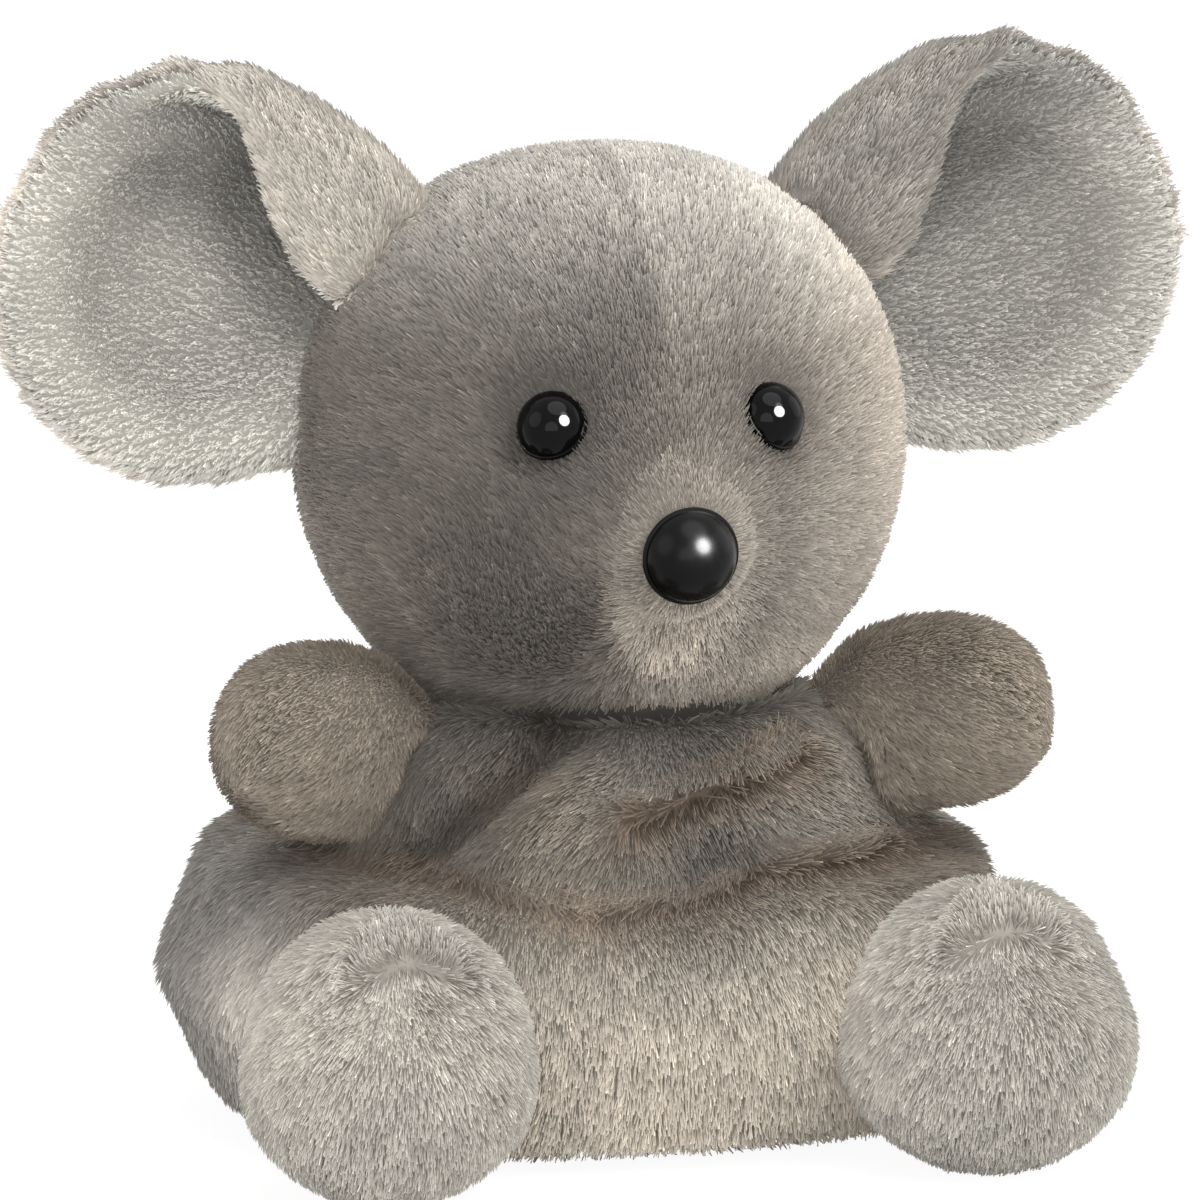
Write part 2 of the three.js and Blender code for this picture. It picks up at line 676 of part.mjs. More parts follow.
// Tail: a small tapering tube, sewn in low at the back and bent to the left
const tailAim = new THREE.Vector3(0, cushionDepth / 2, tailHeight - cushionCentreHeight).normalize();
const tailRoot = cushionForm.pointAt(tailAim);
const tailArc = radians(tailBend);
const tailForm = new StuffedForm({
  radii: new THREE.Vector3(tailDiameter / 2, tailDiameter / 2, tailLength / 2),
  squareness: tailSquareness,
  shape(point) {
    const along = point.z / tailLength + 0.5;
    const turn = tailArc * along;
    const radius = tailLength / tailArc;
    const slim = 1 - tailTaper * along;
    const across = radius - point.x * slim;
    return new THREE.Vector3(radius - across * Math.cos(turn), across * Math.sin(turn), -point.y * slim);
  },
  place: translation(0, tailRoot.y - tailSink, tailHeight),
  segments: 8,
  rings: 10,
});
const tailHinge = { point: new THREE.Vector3(0, tailRoot.y, tailHeight), axis: UP };
const tail = clearOf(tailForm.solid(), cushionForm.geometry(clearance), tailHinge, tailSwing);
add('tail', geometryOf(tail), bodyFur());

// The ears turn on the line of their root seam
const earLow = headForm.pointAt(heading(90, earRootLow));
const earHigh = headForm.pointAt(heading(90, earRootHigh));
const earHinge = { point: earLow.clone().lerp(earHigh, 0.5), axis: earHigh.clone().sub(earLow).normalize() };
earHinge.point.y += earSetback;
const half = clearance / 2;
const layers = [
  { name: 'ear_left_back', geometry: earLayer(half, half + furSkin), material: bodyFur },
  { name: 'ear_left_lining', geometry: earLayer(-half - liningSkin, -half), material: liningFur },
];
for (const { name, geometry, material } of layers) {
  const trimmed = clearOf(solid(geometry), headForm.geometry(clearance), earHinge, earSwing);
  addPair(name, geometryOf(trimmed), material);
}

// Axes that the pieces turn on; those of the right side are mirror images
mouse.userData.hinges = { turnHinge, nodHinge, earHinge, armHinge, footHinge, tailHinge };

export default mouse;
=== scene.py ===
# %% [markdown]
# # A plush mouse
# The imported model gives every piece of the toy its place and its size, and the bodies that move. Here each
# stuffed part gets a sewn skin, the skin gets its pile, and the eyes and the nose get smooth black domes.
# Everything is in metres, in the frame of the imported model: the mouse faces -Y and its left side is +X.

# %% Load the frame
import json
import math

import bpy
import numpy as np
from mathutils import Matrix, Vector
from mathutils.bvhtree import BVHTree

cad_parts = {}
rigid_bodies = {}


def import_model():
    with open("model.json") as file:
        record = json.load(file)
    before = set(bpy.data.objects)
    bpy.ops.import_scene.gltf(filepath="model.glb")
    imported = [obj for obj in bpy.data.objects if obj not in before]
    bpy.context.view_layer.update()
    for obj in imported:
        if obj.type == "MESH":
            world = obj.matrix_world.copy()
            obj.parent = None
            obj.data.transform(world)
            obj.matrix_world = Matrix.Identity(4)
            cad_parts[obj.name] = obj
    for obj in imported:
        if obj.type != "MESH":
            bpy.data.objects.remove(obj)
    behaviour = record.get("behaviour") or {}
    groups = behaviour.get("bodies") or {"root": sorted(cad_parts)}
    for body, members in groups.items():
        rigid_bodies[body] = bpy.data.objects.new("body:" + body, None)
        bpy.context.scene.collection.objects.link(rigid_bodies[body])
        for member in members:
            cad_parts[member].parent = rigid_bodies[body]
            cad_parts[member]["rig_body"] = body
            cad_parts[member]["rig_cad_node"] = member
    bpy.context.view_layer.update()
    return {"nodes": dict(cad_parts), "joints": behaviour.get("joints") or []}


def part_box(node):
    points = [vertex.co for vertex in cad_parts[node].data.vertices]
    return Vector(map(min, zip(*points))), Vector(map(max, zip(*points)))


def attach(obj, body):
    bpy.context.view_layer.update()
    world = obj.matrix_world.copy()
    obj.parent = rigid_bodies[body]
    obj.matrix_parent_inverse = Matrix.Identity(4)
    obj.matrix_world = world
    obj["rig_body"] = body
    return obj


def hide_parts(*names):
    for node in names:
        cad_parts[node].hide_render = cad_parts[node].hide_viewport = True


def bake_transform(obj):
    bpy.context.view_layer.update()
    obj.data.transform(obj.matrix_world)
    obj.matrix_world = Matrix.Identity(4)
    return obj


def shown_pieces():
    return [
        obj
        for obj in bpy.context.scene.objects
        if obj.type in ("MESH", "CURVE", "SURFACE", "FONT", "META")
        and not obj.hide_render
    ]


for leftover in list(bpy.data.objects):
    bpy.data.objects.remove(leftover)
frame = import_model()
MM = 0.001
nodes = frame["nodes"]
joints = {joint["name"]: joint for joint in frame["joints"]}

# %% [markdown]
# ## Camera
# The toy was photographed from a little to its right-hand side and a little from above, with a long lens:
# the far ear is hardly smaller than the near one. A camera 1.5 m away with a narrow view does the same.

# %% Camera
CAMERA_TURN = math.radians(-15)
CAMERA_RISE = math.radians(9.8)
CAMERA_AWAY = 1.5
SENSOR_MM = 36
PICTURE_PIXELS = 1200
PIXELS_PER_MM = 9.2
AIM_HEIGHT = 57.3 * MM
VIEW_WIDTH = PICTURE_PIXELS / PIXELS_PER_MM * MM
aim = Vector((0, 0, AIM_HEIGHT))
back = Vector((
    math.sin(CAMERA_TURN) * math.cos(CAMERA_RISE),
    -math.cos(CAMERA_TURN) * math.cos(CAMERA_RISE),
    math.sin(CAMERA_RISE),
))
bpy.ops.object.camera_add(location=aim + back * CAMERA_AWAY)
camera = bpy.context.object
camera.rotation_mode = "QUATERNION"
camera.rotation_quaternion = (-back).to_track_quat("-Z", "Y")
camera.data.sensor_width = SENSOR_MM
camera.data.lens = SENSOR_MM * CAMERA_AWAY / VIEW_WIDTH
camera.data.clip_end = 20
bpy.context.scene.camera = camera
print("lens:", round(camera.data.lens), "mm")

# %% [markdown]
# ## Picking and finishing
# Blender's operators work on what is selected, so everything is deselected before a piece is picked. A
# modifier is applied as soon as it has done its work, which leaves plain meshes. Points are read and moved as
# arrays, and a ramp rises from 0 at its start to 1 at its end.

# %% Picking and finishing


def pick(*objects):
    bpy.ops.object.select_all(action="DESELECT")
    for one in objects:
        one.select_set(True)
    bpy.context.view_layer.objects.active = objects[0]


def apply(piece, modifier):
    pick(piece)
    bpy.ops.object.modifier_apply(modifier=modifier.name)


def points_of(piece, field="co"):
    values = np.zeros(len(piece.data.vertices) * 3, np.float32)
    piece.data.vertices.foreach_get(field, values)
    return values.reshape(-1, 3).astype(float)


def normals_of(piece):
    return points_of(piece, "normal")


def move_points(piece, places):
    piece.data.vertices.foreach_set("co", places.astype(np.float32).ravel())
    piece.data.update()


def unit(ways):
    return ways / np.maximum(np.linalg.norm(ways, axis=1, keepdims=True), 1e-9)


def ramp(value, start, end):
    return np.clip((value - start) / (end - start), 0, 1)


# %% [markdown]
# ## Sewn skins
# A stuffed part is one closed skin with stuffing in it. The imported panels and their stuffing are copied,
# joined and remeshed into one skin, which closes the narrow gaps between the panels. The skin is drawn in by
# the height of the pile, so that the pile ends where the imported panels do.

# %% A skin from packed panels
WELD_REACH = 0.001 * MM
TIMES_EASED_LAST = 2


def copy_of_nodes(name, names):
    pick(*[nodes[node] for node in names])
    bpy.ops.object.duplicate()
    copies = sorted(bpy.context.selected_objects, key=lambda one: one.name)
    pick(*copies)
    bpy.ops.object.parent_clear(type="CLEAR_KEEP_TRANSFORM")
    if len(copies) > 1:
        bpy.ops.object.join()
    skin = bpy.context.object
    skin.name = skin.data.name = name
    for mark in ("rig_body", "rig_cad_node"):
        if mark in skin:
            del skin[mark]
    skin.data.materials.clear()
    bpy.ops.object.mode_set(mode="EDIT")
    bpy.ops.mesh.select_all(action="SELECT")
    bpy.ops.mesh.remove_doubles(threshold=WELD_REACH)
    bpy.ops.object.mode_set(mode="OBJECT")
    return skin


def outermost(skin):
    name = skin.name
    pick(skin)
    bpy.ops.object.mode_set(mode="EDIT")
    bpy.ops.mesh.select_all(action="SELECT")
    bpy.ops.mesh.separate(type="LOOSE")
    bpy.ops.object.mode_set(mode="OBJECT")
    shells = sorted(bpy.context.selected_objects, key=lambda one: -len(one.data.vertices))
    for shell in shells[1:]:
        bpy.data.objects.remove(shell)
    shells[0].name = shells[0].data.name = name
    return shells[0]


def ease(skin, times, factor=0.5):
    smooth = skin.modifiers.new("ease", "SMOOTH")
    smooth.factor, smooth.iterations = factor, times
    apply(skin, smooth)


def sewn_skin(name, names, voxel, tuck, times=6):
    skin = copy_of_nodes(name, names)
    remesh = skin.modifiers.new("one skin", "REMESH")
    remesh.mode, remesh.voxel_size = "VOXEL", voxel * MM
    apply(skin, remesh)
    skin = outermost(skin)
    ease(skin, times)
    drawn_in = skin.modifiers.new("room for the pile", "DISPLACE")
    drawn_in.mid_level, drawn_in.strength = 0, -tuck * MM
    apply(skin, drawn_in)
    ease(skin, TIMES_EASED_LAST)
    print(name, "points:", len(skin.data.vertices))
    return skin


# %% [markdown]
# ## Stuffing
# Fibre pushes a skin outwards everywhere but at its seams. Blender's cloth with pressure does the same: the
# seams are pinned, the rest swells for a moment, and no point moves further than the cloth would give.

# %% Stuffing
SETTLING_FRAMES = 20


def stuff(skin, at_seam, pressure, most):
    before = points_of(skin)
    seams = skin.vertex_groups.new(name="seams")
    seams.add([int(i) for i in np.nonzero(at_seam(before))[0]], 1.0, "REPLACE")
    cloth = skin.modifiers.new("stuffing", "CLOTH")
    cloth.settings.use_pressure = True
    cloth.settings.uniform_pressure_force = pressure
    cloth.settings.effector_weights.gravity = 0
    cloth.settings.vertex_group_mass = "seams"
    for moment in range(1, SETTLING_FRAMES + 1):
        bpy.context.scene.frame_set(moment)
    apply(skin, cloth)
    bpy.context.scene.frame_set(1)
    moved = points_of(skin) - before
    far = np.linalg.norm(moved, axis=1, keepdims=True)
    move_points(skin, before + moved * np.minimum(1, most * MM / np.maximum(far, 1e-9)))
    finer = skin.modifiers.new("finer", "SUBSURF")
    finer.levels = finer.render_levels = 1
    apply(skin, finer)
    print(skin.name, "swelled by up to", round(float(far.max()) / MM, 2), "mm")


# %% [markdown]
# ## Pile
# Plush is a knitted backing with a dense pile of fine fibres that lean one way, the nap. Fibres as hair
# curves wouldn't be part of the meshes, so each fibre is a slim closed wedge with four faces, pointed at its
# root and bent over to its tip. Geometry nodes strew the fibres on the skin, lean each along the nap, and
# gather the tips into small tufts.

# %% One fibre
FIBRE_POINTS = [(0, 0, 0), (1, 0.5, 1), (1, -0.5, 1), (0.3, 0, 0.62)]
FIBRE_ALONG = [0.0, 1.0, 1.0, 0.55]
FIBRE_MAP_U = [0.15, 0.85, 0.85, 0.5]
FIBRE_MAP_V = [0.5, 0.85, 0.15, 0.5]
bpy.ops.mesh.primitive_cone_add(vertices=3, radius1=0.5, radius2=0, depth=1, end_fill_type="NGON")
fibre = bpy.context.object
fibre.name = "fibre"
move_points(fibre, np.array(FIBRE_POINTS, float))
for kept_name, values in (("along", FIBRE_ALONG), ("map_u", FIBRE_MAP_U), ("map_v", FIBRE_MAP_V)):
    fibre.data.attributes.new(kept_name, "FLOAT", "POINT").data.foreach_set("value", values)
print("faces of one fibre:", len(fibre.data.polygons))

# %% Nodes that strew the fibres
pile = bpy.data.node_groups.new("pile", "GeometryNodeTree")
pile.interface.new_socket("Geometry", in_out="OUTPUT", socket_type="NodeSocketGeometry")
pile.interface.new_socket("Geometry", in_out="INPUT", socket_type="NodeSocketGeometry")
PILE_INPUTS = {
    "Panel": "Int", "Density": "Float", "Run": "Float", "Rise": "Float", "Width": "Float", "Unruly": "Float",
    "Wave": "Float", "Tuft": "Float", "Gather": "Float", "Seed": "Int", "Finish": "Material",
}
PILE_KEYS = {}
for title, kind in PILE_INPUTS.items():
    socket = pile.interface.new_socket(title, in_out="INPUT", socket_type="NodeSocket" + kind)
    PILE_KEYS[title] = socket.identifier


def pile_node(kind, **settings):
    made = pile.nodes.new(kind)
    for setting, value in settings.items():
        setattr(made, setting, value)
    return made


def join_to(source, target):
    pile.links.new(source, target)


def fill_in(sockets, terms):
    for socket, term in zip(sockets, terms):
        if isinstance(term, (int, float, tuple)):
            socket.default_value = term
        else:
            join_to(term, socket)


def reckon(operation, *terms):
    made = pile_node("ShaderNodeMath", operation=operation)
    fill_in(made.inputs, terms)
    return made.outputs[0]


def reckon_way(operation, *terms):
    made = pile_node("ShaderNodeVectorMath", operation=operation)
    fill_in(made.inputs, terms)
    return made.outputs["Vector"]


def scaled(way, factor):
    made = pile_node("ShaderNodeVectorMath", operation="SCALE")
    fill_in((made.inputs[0], made.inputs["Scale"]), (way, factor))
    return made.outputs["Vector"]


def kept(name, kind):
    made = pile_node("GeometryNodeInputNamedAttribute", data_type=kind)
    made.inputs["Name"].default_value = name
    return made.outputs["Attribute"]


def chance(low, high, seed, kind="FLOAT"):
    made = pile_node("FunctionNodeRandomValue", data_type=kind)
    first = 0 if kind == "FLOAT_VECTOR" else 2
    made.inputs[first].default_value, made.inputs[first + 1].default_value = low, high
    join_to(reckon("ADD", wanted["Seed"], seed), made.inputs["Seed"])
    return made.outputs[0 if kind == "FLOAT_VECTOR" else 1]


def keep(geometry, name, kind, domain, value):
    made = pile_node("GeometryNodeStoreNamedAttribute", data_type=kind, domain=domain)
    made.inputs["Name"].default_value = name
    join_to(geometry, made.inputs["Geometry"])
    join_to(value, made.inputs["Value"])
    return made.outputs["Geometry"]


wanted = pile_node("NodeGroupInput").outputs
same_panel = pile_node("FunctionNodeCompare", data_type="INT", operation="EQUAL")
whole_numbers = [socket for socket in same_panel.inputs if socket.type == "INT"]
join_to(kept("panel", "INT"), whole_numbers[0])
join_to(wanted["Panel"], whole_numbers[1])
strewn = pile_node("GeometryNodeDistributePointsOnFaces")
join_to(wanted["Geometry"], strewn.inputs["Mesh"])
join_to(same_panel.outputs[0], strewn.inputs["Selection"])
join_to(reckon("MULTIPLY", wanted["Density"], kept("cover", "FLOAT")), strewn.inputs["Density"])
join_to(wanted["Seed"], strewn.inputs["Seed"])
print("inputs of the pile:", ", ".join(PILE_KEYS))

# %% [markdown]
# A fibre leans along the nap. Slow waves in the pile turn the nap a little, each fibre strays a little more,
# and the tips of neighbours draw together towards the middle of their tuft.

# %% Lean and tufts
STRAY = 0.35
RUN_SPREAD = (0.65, 1.3)
WIDTH_SPREAD = (0.75, 1.3)
RISE_SPREAD = (0.6, 1.3)
place = pile_node("GeometryNodeInputPosition").outputs[0]
waves = pile_node("ShaderNodeTexNoise", noise_dimensions="3D")
waves.inputs["Detail"].default_value = 2
join_to(reckon("DIVIDE", 1, wanted["Wave"]), waves.inputs["Scale"])
join_to(place, waves.inputs["Vector"])
sway = scaled(reckon_way("SUBTRACT", waves.outputs["Color"], (0.5, 0.5, 0.5)), wanted["Unruly"])
tufts = pile_node("ShaderNodeTexVoronoi", voronoi_dimensions="3D")
join_to(reckon("DIVIDE", 1, wanted["Tuft"]), tufts.inputs["Scale"])
join_to(place, tufts.inputs["Vector"])
inward = reckon_way("SUBTRACT", tufts.outputs["Position"], place)
drawn = scaled(inward, reckon("DIVIDE", wanted["Gather"], wanted["Tuft"]))
stray = scaled(chance((-STRAY,) * 3, (STRAY,) * 3, 11, "FLOAT_VECTOR"), wanted["Unruly"])
swayed = reckon_way("ADD", kept("nap", "FLOAT_VECTOR"), sway)
lean = reckon_way("ADD", swayed, reckon_way("ADD", drawn, stray))
turn = pile_node("FunctionNodeAxesToRotation", primary_axis="Z", secondary_axis="X")
join_to(kept("skin_normal", "FLOAT_VECTOR"), turn.inputs["Primary Axis"])
join_to(lean, turn.inputs["Secondary Axis"])
size = pile_node("ShaderNodeCombineXYZ")
lying = reckon("MULTIPLY", wanted["Run"], kept("lie", "FLOAT"))
join_to(reckon("MULTIPLY", lying, chance(*RUN_SPREAD, 12)), size.inputs["X"])
join_to(reckon("MULTIPLY", wanted["Width"], chance(*WIDTH_SPREAD, 13)), size.inputs["Y"])
join_to(reckon("MULTIPLY", wanted["Rise"], chance(*RISE_SPREAD, 14)), size.inputs["Z"])
planted = pile_node("GeometryNodeInstanceOnPoints")
blade = pile_node("GeometryNodeObjectInfo")
blade.inputs["Object"].default_value = fibre
join_to(blade.outputs["Geometry"], planted.inputs["Instance"])
join_to(turn.outputs["Rotation"], planted.inputs["Rotation"])
join_to(scaled(size.outputs[0], kept("pile", "FLOAT")), planted.inputs["Scale"])
print("nodes so far:", len(pile.nodes))

# %% [markdown]
# Each fibre keeps a tone of its own and the tone of its tuft. Its normals are turned most of the way to the
# skin's, because light scatters between real fibres and a pile is lit nearly as the skin below it is.

# %% Tone and normals
OWN_NORMAL = 0.12
tuft_tone = pile_node("ShaderNodeSeparateXYZ")
join_to(tufts.outputs["Color"], tuft_tone.inputs[0])
rooted = keep(strewn.outputs["Points"], "tone", "FLOAT", "POINT", chance(0.0, 1.0, 15))
rooted = keep(rooted, "tuft", "FLOAT", "POINT", tuft_tone.outputs[0])
rooted = keep(rooted, "number", "INT", "POINT", pile_node("GeometryNodeInputIndex").outputs[0])
join_to(rooted, planted.inputs["Points"])
real = pile_node("GeometryNodeRealizeInstances")
join_to(planted.outputs["Instances"], real.inputs["Geometry"])
own = pile_node("GeometryNodeInputNormal").outputs[0]
softened = reckon_way("ADD", scaled(own, OWN_NORMAL), kept("skin_normal", "FLOAT_VECTOR"))
lit = pile_node("GeometryNodeSetMeshNormal", mode="FREE", domain="POINT")
join_to(real.outputs["Geometry"], lit.inputs["Mesh"])
join_to(reckon_way("NORMALIZE", softened), lit.inputs["Custom Normal"])
print("nodes so far:", len(pile.nodes))

# %% [markdown]
# A flat map gives each fibre a small square of its own, row by row, so that its colour can be painted later.

# %% Map of the fibres
count = pile_node("GeometryNodeAttributeDomainSize", component="POINTCLOUD")
join_to(strewn.outputs["Points"], count.inputs["Geometry"])
per_row = reckon("CEIL", reckon("SQRT", count.outputs["Point Count"]))
column = reckon("MODULO", kept("number", "INT"), per_row)
row = reckon("FLOOR", reckon("DIVIDE", kept("number", "INT"), per_row))
spot = pile_node("ShaderNodeCombineXYZ")
join_to(reckon("DIVIDE", reckon("ADD", column, kept("map_u", "FLOAT")), per_row), spot.inputs["X"])
join_to(reckon("DIVIDE", reckon("ADD", row, kept("map_v", "FLOAT")), per_row), spot.inputs["Y"])
mapped = keep(lit.outputs["Mesh"], "OFBake", "FLOAT2", "CORNER", spot.outputs[0])
dyed = pile_node("GeometryNodeSetMaterial")
join_to(mapped, dyed.inputs["Geometry"])
join_to(wanted["Finish"], dyed.inputs["Material"])
join_to(dyed.outputs["Geometry"], pile_node("NodeGroupOutput").inputs[0])
print("nodes in all:", len(pile.nodes))

# %% [markdown]
# ## Combing
# Before the pile is strewn, the skin learns its nap, which way its normals face, which panel each face
# belongs to, how long the pile is and how far it lies over, where there is none, as under the eyes, and where
# its colour is lighter or darker, by dye and by painted light and shade. A real pile lets light through to
# its backing, so a coat casts no shadow of its own: the skin under it does.

# %% Combing
SPENT = ("nap", "pile", "cover", "number", "map_u", "map_v", "panel", "skin_normal", "lie")


def keep_on(skin, name, kind, domain, values):
    made = skin.data.attributes.new(name, kind, domain)
    field = "vector" if kind == "FLOAT_VECTOR" else "value"
    made.data.foreach_set(field, np.ascontiguousarray(values).ravel())


def comb(skin, nap, dye, length=None, cover=None, lie=None):
    places, ways = points_of(skin), normals_of(skin)
    lying = nap(places)
    lying = unit(lying - ways * (lying * ways).sum(1, keepdims=True))
    keep_on(skin, "nap", "FLOAT_VECTOR", "POINT", lying.astype(np.float32))
    keep_on(skin, "skin_normal", "FLOAT_VECTOR", "POINT", ways.astype(np.float32))
    for name, amount in (("pile", length), ("cover", cover), ("lie", lie)):
        values = np.ones(len(places)) * (amount(places) if amount else 1.0)
        keep_on(skin, name, "FLOAT", "POINT", values.astype(np.float32))
    # This colour carries both the dye and the painted light and shade of the skin.
    tint = np.ones((len(places), 3)) * dye(places)
    keep_on(skin, "dye", "FLOAT_VECTOR", "POINT", tint.astype(np.float32))


def tree_of(piece):
    corners = [point.co[:] for point in piece.data.vertices]
    return BVHTree.FromPolygons(corners, [face.vertices[:] for face in piece.data.polygons])


def name_panels(skin, names):
    trees = [tree_of(nodes[node]) for node in names]
    numbers = []
    for face in skin.data.polygons:
        reach = [tree.find_nearest(face.center + face.normal * MM)[3] for tree in trees]
        numbers.append(int(np.argmin(reach)))
    keep_on(skin, "panel", "INT", "FACE", np.array(numbers, np.int32))
    faces = np.bincount(numbers, minlength=len(names)).tolist()
    print(skin.name, "faces by panel:", dict(zip(names, faces)))


def grow_pile(skin, name, panel, finish, density, run, rise, width, unruly, wave, tuft, gather, seed):
    pick(skin)
    bpy.ops.object.duplicate()
    coat = bpy.context.object
    coat.name = coat.data.name = name
    grown = coat.modifiers.new("pile", "NODES")
    grown.node_group = pile
    per_square = density * 1e6
    values = {
        "Panel": panel, "Density": per_square, "Run": run * MM, "Rise": rise * MM, "Width": width * MM,
        "Unruly": unruly, "Wave": wave * MM, "Tuft": tuft * MM, "Gather": gather, "Seed": seed,
        "Finish": finish,
    }
    for title, value in values.items():
        grown[PILE_KEYS[title]] = value
    apply(coat, grown)
    for spent in SPENT:
        if spent in coat.data.attributes:
            coat.data.attributes.remove(coat.data.attributes[spent])
    coat.visible_shadow = False
    print(name, "faces:", len(coat.data.polygons))
    return coat


# %% [markdown]
# ## Finishes
# The pile is painted darker near the backing, as shade where little light comes in, and pale at the tips. The
# dye is uneven on the real plush, in soft patches about two centimetres wide. Every fibre and tuft differs a
# little, and a few fibres in a hundred get a painted glint: their tips are painted lighter, a painted
# highlight.

# %% Plush
FIBRE_TONES = (0.8, 1.18)
TUFT_TONES = (0.86, 1.14)
# Painted glint: fibres with a tone above this get their tips painted lighter, a painted highlight.
PAINTED_GLINT_FROM = 0.965
PAINTED_GLINT_SHARE = 0.9
PAINTED_GLINT_TONES = (1.0, 1.7)


def linear(code):
    parts = [int(code[i:i + 2], 16) / 255 for i in (1, 3, 5)]
    return [p / 12.92 if p <= 0.04045 else ((p + 0.055) / 1.055) ** 2.4 for p in parts] + [1]


def new_finish(name):
    finish = bpy.data.materials.new(name)
    finish.use_nodes = True
    return finish, finish.node_tree, finish.node_tree.nodes["Principled BSDF"]


def plush(name, deep, middle, tip, uneven, patch, seed, streak=1.0):
    finish, tree, shader = new_finish(name)
    shader.inputs["Roughness"].default_value = 0.75
    shader.inputs["Specular IOR Level"].default_value = 0.25
    shader.inputs["Sheen Weight"].default_value = 0.15
    shader.inputs["Sheen Roughness"].default_value = 0.45

    def attribute(kept_name, output="Fac"):
        read = tree.nodes.new("ShaderNodeAttribute")
        read.attribute_name = kept_name
        return read.outputs[output]

    def spread(source, ends, start=0.0, end=1.0):
        made = tree.nodes.new("ShaderNodeMapRange")
        made.inputs["From Min"].default_value, made.inputs["From Max"].default_value = start, end
        made.inputs["To Min"].default_value, made.inputs["To Max"].default_value = ends
        tree.links.new(source, made.inputs["Value"])
        return made.outputs["Result"]

    def combine(kind, operation, first, second, socket=1):
        made = tree.nodes.new(kind)
        made.operation = operation
        tree.links.new(first, made.inputs[0])
        tree.links.new(second, made.inputs[socket])
        return made.outputs[0]

    ramp = tree.nodes.new("ShaderNodeValToRGB")
    ramp.color_ramp.elements[0].color = linear(deep)
    ramp.color_ramp.elements[1].color = linear(tip)
    ramp.color_ramp.elements.new(0.5).color = linear(middle)
    tree.links.new(attribute("along"), ramp.inputs["Fac"])
    where = tree.nodes.new("ShaderNodeTexCoord")
    moved = tree.nodes.new("ShaderNodeMapping")
    moved.inputs["Location"].default_value = (seed * 0.37, seed * 0.11, seed * 0.23)
    moved.inputs["Scale"].default_value = (1, 1, streak)
    tree.links.new(where.outputs["Object"], moved.inputs["Vector"])
    patches = tree.nodes.new("ShaderNodeTexNoise")
    patches.inputs["Scale"].default_value = 1 / (patch * MM)
    patches.inputs["Detail"].default_value = 2.5
    tree.links.new(moved.outputs["Vector"], patches.inputs["Vector"])
    # Painted highlight: the glinting fibres are painted lighter towards their tips.
    painted_glint_mask = spread(attribute("tone"), (0.0, PAINTED_GLINT_SHARE), PAINTED_GLINT_FROM)
    painted_glints = combine("ShaderNodeMath", "MULTIPLY", painted_glint_mask, spread(attribute("along"), (0.0, 1.0), 0.4))
    own_tone = spread(attribute("tone"), FIBRE_TONES)
    tuft_tone = spread(attribute("tuft"), TUFT_TONES)
    tones = spread(patches.outputs["Fac"], uneven, 0.33, 0.67)
    for more in (own_tone, tuft_tone, spread(painted_glints, PAINTED_GLINT_TONES)):
        tones = combine("ShaderNodeMath", "MULTIPLY", tones, more)
    toned = combine("ShaderNodeVectorMath", "SCALE", ramp.outputs["Color"], tones, "Scale")
    # The colour is multiplied by the skin's dye and its painted light and shade.
    dyed_and_painted = combine("ShaderNodeVectorMath", "MULTIPLY", toned, attribute("dye", "Vector"))
    tree.links.new(dyed_and_painted, shader.inputs["Base Color"])
    return finish


head_plush = plush("head_plush", "#68635e", "#86817b", "#98938d", uneven=(0.9, 1.08), patch=24, seed=1)
body_plush = plush(
    "body_plush", "#6f6a63", "#8f8981", "#a29c93", uneven=(0.84, 1.14), patch=17, seed=2, streak=0.45)
ear_plush = plush("ear_plush", "#857f77", "#aba59c", "#c1bbb2", uneven=(0.88, 1.1), patch=18, seed=6)
foot_plush = plush("foot_plush", "#8f897f", "#b6b1a8", "#c6c1b8", uneven=(0.92, 1.05), patch=18, seed=3)
lining_plush = plush("lining_plush", "#76736b", "#b5b2aa", "#cfccc5", uneven=(0.94, 1.06), patch=16, seed=4)
print("finishes:", len(bpy.data.materials))

# %% [markdown]
# ## Eyes and nose
# They are turned plastic parts: a polished dome, a thin rim, and a stem that goes through the cloth to a
# washer behind it. Each starts as a ball that is cut at the rim. The cut face is then drawn down step by step
# into rim, stem and washer: each step says how far it drops, in millimetres, and how much wider it gets.

# %% Eyes and nose
SQUARE_ON = Vector((0, 0, 1))
GRAIN_SIZE = 0.6 * MM
GRAIN_DEPTH = 0.05 * MM
LEAST_DROP = 0.02
RIM_STEM_WASHER = [(0, 1.05), (0.25, 1.02), (0.45, 0.97), (0.1, 0.36), (3.0, 1.0), (0, 2.6), (1.0, 1.0)]


def polished(name, code, roughness, speck):
    finish, tree, shader = new_finish(name)
    shader.inputs["Base Color"].default_value = linear(code)
    shader.inputs["Specular IOR Level"].default_value = 0.12
    where = tree.nodes.new("ShaderNodeTexCoord")
    grain = tree.nodes.new("ShaderNodeTexNoise")
    grain.inputs["Scale"].default_value = 1 / GRAIN_SIZE
    tree.links.new(where.outputs["Object"], grain.inputs["Vector"])
    varied = tree.nodes.new("ShaderNodeMapRange")
    varied.inputs["To Min"].default_value = roughness * 0.8
    varied.inputs["To Max"].default_value = roughness * 1.2
    tree.links.new(grain.outputs["Fac"], varied.inputs["Value"])
    tree.links.new(varied.outputs["Result"], shader.inputs["Roughness"])
    bump = tree.nodes.new("ShaderNodeBump")
    bump.inputs["Strength"].default_value = speck
    bump.inputs["Distance"].default_value = GRAIN_DEPTH
    tree.links.new(grain.outputs["Fac"], bump.inputs["Height"])
    tree.links.new(bump.outputs["Normal"], shader.inputs["Normal"])
    return finish


